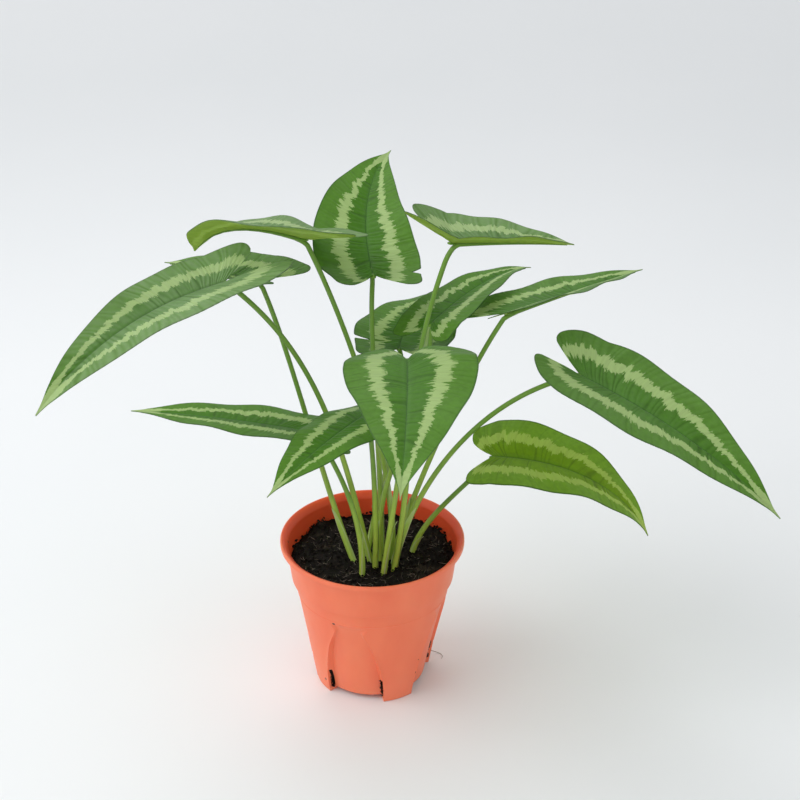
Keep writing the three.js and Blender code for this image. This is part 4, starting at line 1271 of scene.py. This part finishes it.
def make_blade(bm, blade, thickness, order):
    """Lays a grid on the blade's surface, sinks its side veins, and gives it a thickness and an
    underside."""
    vein, out, along, bloom = (bm.verts.layers.float.get(name) for name in LEAF_LAYERS)
    made = bmesh.ops.create_grid(bm, x_segments=BLADE_ROWS, y_segments=2 * HALF_COLUMNS, size=1)
    upper = list(dict.fromkeys(f for v in made["verts"] for f in v.link_faces))
    for vert in made["verts"]:
        u = (vert.co.x + 1) / 2 * TIP_END
        v = math.copysign(abs(vert.co.y) ** COLUMN_CROWDING, vert.co.y)
        vert.co, run = blade.point(u, v)
        run += order * NEXT_LEAF_RUN
        vert[vein] = run + VEIN_WANDER * noise.noise(Vector((run * 0.11, abs(v) * 1.3, 2.7)))
        vert[out] = abs(v)
        vert[along] = u
    bm.normal_update()
    # The side veins are sunk and the tissue between them swells, less so towards the margin.
    spacing = bpy.context.scene.plant_leaf.vein_spacing / MM
    depth = bpy.context.scene.plant_leaf.vein_depth / MM
    sunk = {}
    for vert in made["verts"]:
        place = vert[vein] / spacing
        near = 0.5 + 0.5 * math.cos(place * math.tau)
        own = 0.75 + 0.5 * noise.noise(Vector((place * 0.6, 7.1, 0)))
        fade = ease(vert[out], 0.01, 0.12) * (1 - 0.7 * vert[out]) * (1 - vert[along] ** 4)
        sunk[vert] = vert.normal * (depth * near * own * fade)
    for vert, down in sunk.items():
        vert.co -= down
    bm.normal_update()
    for vert in made["verts"]:
        # Painted sheen: grey is painted on where the blade faces up, as a reflection of the light
        # above.
        vert[bloom] = blade.leaf["bloom"] * ease(vert.normal.z, 0.55, 0.95)
        vert.co += vert.normal * thickness / 2
    made = bmesh.ops.solidify(bm, geom=upper, thickness=thickness)["geom"]
    for face in made:
        if isinstance(face, bmesh.types.BMFace):
            face.material_index = UNDERSIDE


def stalk_curve(leaf):
    """The stalk's curve from the soil to the blade, as a function of the share of its length."""
    level = bpy.context.scene.plant_soil.level / MM
    a, b, c, d = (Vector(p) for p in (
        (*leaf["foot"], level), leaf["rise"], leaf["reach"], leaf["seat"]))

    def curve(t):
        return (a * (1 - t) ** 3 + b * 3 * t * (1 - t) ** 2 + c * 3 * t * t * (1 - t) + d * t ** 3)
    return curve


def stalk_radius(part):
    """The stalk's radius at that share of its length."""
    s = bpy.context.scene.plant_petiole
    return mix(s.foot_radius, s.top_radius, min(part / STEM_TAPER_END, 1)) / MM


def make_stalk(bm, leaf, midrib):
    """The stalk from below the soil to the blade, running on under it as the midrib's ridge."""
    curve = stalk_curve(leaf)
    foot = Vector((*leaf["foot"], STALK_FOOT_LEVEL))
    points, radii = [foot], [stalk_radius(0)]
    for i in range(STALK_STEPS):
        part = i / STALK_STEPS * STALK_TURN_START
        points.append(curve(part))
        radii.append(stalk_radius(part))

    def under(share):
        """The ridge's middle and radius at a share of the midrib."""
        radius = mix(stalk_radius(1), RIDGE_END_RADIUS, (share / RIDGE_END) ** 0.7)
        point, _, normal = midrib.frame(share * leaf["long"])
        return point - normal * (radius * 0.85 + 0.35), radius

    shares = (0.06, 0.1, 0.16, 0.24, 0.33, 0.43, 0.53, 0.63, 0.73, 0.83, RIDGE_END)
    turn_from, turn_to = curve(STALK_TURN_START), under(shares[0])[0]
    corner = under(0)[0]
    for i in range(STALK_TURN_STEPS):
        t = i / STALK_TURN_STEPS
        points.append(turn_from * (1 - t) ** 2 + corner * 2 * t * (1 - t) + turn_to * t * t)
        radii.append(stalk_radius(1))
    for share in shares:
        point, radius = under(share)
        points.append(point)
        radii.append(radius)
    before = set(bm.faces)
    rod(bm, points, radii, STALK_SIDES)
    # A flat swelling, the knot, closes the notch where the stalk meets the blade.
    point, left, normal = midrib.frame(-0.8)
    turn = Matrix((normal.cross(left) * -1, left, normal)).transposed().to_4x4()
    place = Matrix.Translation(point - normal * 0.9) @ turn @ Matrix.Diagonal((*KNOT, 1))
    knot = bmesh.ops.create_uvsphere(bm, u_segments=20, v_segments=10, radius=1, matrix=place)
    along = bm.verts.layers.float.get("along")
    for vert in knot["verts"]:
        vert[along] = 1
    made = [f for f in bm.faces if f not in before]
    bmesh.ops.recalc_face_normals(bm, faces=made)
    for face in made:
        face.material_index = STALK


def make_sheath(bm, leaf, order):
    """A papery sheath wrapped round the stalk's foot, open on one side, ending in a free tip."""
    out, along = (bm.verts.layers.float.get(name) for name in ("out", "along"))
    curve = stalk_curve(leaf)
    before = set(bm.faces)
    made = bmesh.ops.create_grid(bm, x_segments=26, y_segments=12, size=1)["verts"]
    facing = math.radians(SHEATH_FACING + SHEATH_NEXT * order)
    for vert in made:
        t, y = (vert.co.x + 1) / 2, vert.co.y
        part = leaf["sheath"] * (0.72 + 0.08 * (order % 5)) * mix(-0.03, 1, t)
        axis = (curve(part + 0.01) - curve(part)).normalized()
        side = Vector((math.cos(facing), math.sin(facing), 0))
        side = (side - axis * side.dot(axis)).normalized()
        turn = math.radians(SHEATH_WRAP) * (1 - t ** 2.4) ** 0.9 * y
        gap = 0.1 + 0.3 * y ** 4 + 2.4 * ease(t, 0.84, 1.1)
        reach = stalk_radius(part) + gap
        vert.co = curve(part) + Quaternion(axis, turn) @ side * reach
        vert[out] = abs(y)
        vert[along] = t
    faces = [f for f in bm.faces if f not in before]
    bmesh.ops.solidify(bm, geom=faces, thickness=SHEATH_THICKNESS)
    verts = list(dict.fromkeys(v for f in bm.faces if f not in before for v in f.verts))
    bmesh.ops.remove_doubles(bm, verts=verts, dist=0.02)
    made = [f for f in bm.faces if f not in before]
    bmesh.ops.recalc_face_normals(bm, faces=made)
    for face in made:
        face.material_index = SHEATH


class PLANT_OT_leaves(bpy.types.Operator):
    """Makes the thirteen leaves, each with its blade, stalk and sheath."""
    bl_idname = "plant.leaves"
    bl_label = "Leaves"

    def execute(self, context):
        upper, upper_young = leaf_upper(False), leaf_upper(True)
        rest = [leaf_underside(), leaf_stalk(), stalk_sheath()]
        thickness = context.scene.plant_leaf.thickness / MM
        for order, (name, leaf) in enumerate(LEAVES.items()):
            bm = bmesh.new()
            for layer in LEAF_LAYERS:
                bm.verts.layers.float.new(layer)
            blade = Blade(leaf, order + 1)
            make_blade(bm, blade, thickness, order)
            make_stalk(bm, leaf, blade.midrib)
            make_sheath(bm, leaf, order)
            skin = upper_young if leaf["young"] else upper
            finish_piece(bm, "living_" + name, [skin] + rest,
                         "young_leaf" if leaf["young"] else "leaf", name, sharp=50)
        return {"FINISHED"}


# The paper sweep, in metres: half its width, where it starts, how long it lies flat, the radius
# of its bend and how high it stands.
PAPER_HALF_WIDTH, PAPER_START, PAPER_FLAT, PAPER_BEND, PAPER_RISE = 5, -3, 4.2, 1.6, 2.5
PAPER_ROWS = 60
# The lights' places, their widths across and how many degrees they spread, and where they aim.
LIGHTS = {
    "key": ((-1.8, -0.5, 2.1), 2.4, 180),
    "back": ((-0.35, 0.95, 1.5), 1.0, 80),
    "fill": ((1.5, -1.9, 1.5), 2.4, 180),
}
LIGHTS_AIM = (0, 0, 0.2)
CAMERA_PLACE = (0.0195, -1.196, 0.868)


class PLANT_OT_stage(bpy.types.Operator):
    """Sets up the paper sweep, the soft lights and the camera."""
    bl_idname = "plant.stage"
    bl_label = "Stage and camera"

    def execute(self, context):
        s = context.scene.plant_stage
        bm = bmesh.new()
        bmesh.ops.create_grid(bm, x_segments=2, y_segments=PAPER_ROWS, size=1)
        bent = PAPER_FLAT + PAPER_BEND * math.pi / 2
        for vert in bm.verts:
            run = (vert.co.y + 1) / 2 * (bent + PAPER_RISE)
            turn = min(max(run - PAPER_FLAT, 0) / PAPER_BEND, math.pi / 2)
            vert.co.x *= PAPER_HALF_WIDTH
            vert.co.y = PAPER_START + min(run, PAPER_FLAT) + PAPER_BEND * math.sin(turn)
            vert.co.z = PAPER_BEND * (1 - math.cos(turn)) + max(run - bent, 0)
        mesh = bpy.data.meshes.new("paper_sweep")
        bm.to_mesh(mesh)
        bm.free()
        mesh.shade_smooth()
        mesh.materials.append(paper())
        sweep = bpy.data.objects.new("paper_sweep", mesh)
        context.scene.collection.objects.link(sweep)
        sweep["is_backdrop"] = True
        for name, (spot, size, spread) in LIGHTS.items():
            lamp = bpy.data.lights.new(name + "_light", "AREA")
            lamp.shape = "DISK"
            lamp.size = size
            lamp.energy = getattr(s, name + "_watts")
            lamp.spread = math.radians(spread)
            holder = bpy.data.objects.new(name + "_light", lamp)
            holder.location = spot
            aim = Vector(LIGHTS_AIM) - Vector(spot)
            holder.rotation_euler = aim.to_track_quat("-Z", "Y").to_euler()
            context.scene.collection.objects.link(holder)
        world = bpy.data.worlds.new("studio")
        world.use_nodes = True
        room = world.node_tree.nodes["Background"]
        room.inputs["Color"].default_value = linear("#f7f7f7")
        room.inputs["Strength"].default_value = s.sky
        context.scene.world = world
        context.scene.view_settings.view_transform = "Standard"
        camera = bpy.data.cameras.new("camera")
        camera.lens = s.lens
        camera.sensor_width = 36
        camera.sensor_fit = "HORIZONTAL"
        camera.clip_end = 50
        holder = bpy.data.objects.new("camera", camera)
        holder.location = CAMERA_PLACE
        holder.rotation_euler = (math.pi / 2 - s.tilt, 0, 0)
        context.scene.collection.objects.link(holder)
        context.scene.camera = holder
        return {"FINISHED"}


class PLANT_PT_panel(bpy.types.Panel):
    """Lists the plant's settings and the buttons that make its pieces."""
    bl_idname = "PLANT_PT_panel"
    bl_label = "Potted schismatoglottis"
    bl_space_type = "VIEW_3D"
    bl_region_type = "UI"
    bl_category = "Plant"

    def draw(self, context):
        for button, *groups in PARTS:
            box = self.layout.box()
            box.operator(button.bl_idname)
            for group in groups:
                for name in SETTINGS[group].__annotations__:
                    box.prop(getattr(context.scene, group), name)


SETTINGS = {
    "plant_stage": StageSettings,
    "plant_pot": PotSettings,
    "plant_soil": SoilSettings,
    "plant_leaf": LeafSettings,
    "plant_petiole": PetioleSettings,
}
PARTS = (
    (PLANT_OT_stage, "plant_stage"),
    (PLANT_OT_pot, "plant_pot"),
    (PLANT_OT_soil, "plant_soil"),
    (PLANT_OT_leaves, "plant_leaf", "plant_petiole"),
)
CLASSES = (*SETTINGS.values(), *(button for button, *_ in PARTS), PLANT_PT_panel)


def register():
    for made in CLASSES:
        bpy.utils.register_class(made)
    for name, settings in SETTINGS.items():
        setattr(bpy.types.Scene, name, bpy.props.PointerProperty(type=settings))


def unregister():
    for name in SETTINGS:
        delattr(bpy.types.Scene, name)
    for made in reversed(CLASSES):
        bpy.utils.unregister_class(made)


def main():
    """Clears what a new file starts with, makes the stage and the pieces, and works out the sizes
    of the CAD and of the pieces.
    """
    register()
    for name in ("Cube", "Light", "Camera"):
        if name in bpy.data.objects:
            bpy.data.objects.remove(bpy.data.objects[name])
    bpy.ops.plant.stage()
    bpy.ops.plant.pot()
    bpy.ops.plant.soil()
    bpy.ops.plant.leaves()
    boxes = {"cad": CAD_BOX, "visual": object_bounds()}
    {name: [list(corner) for corner in box] for name, box in boxes.items()}


if __name__ == "__main__":
    main()
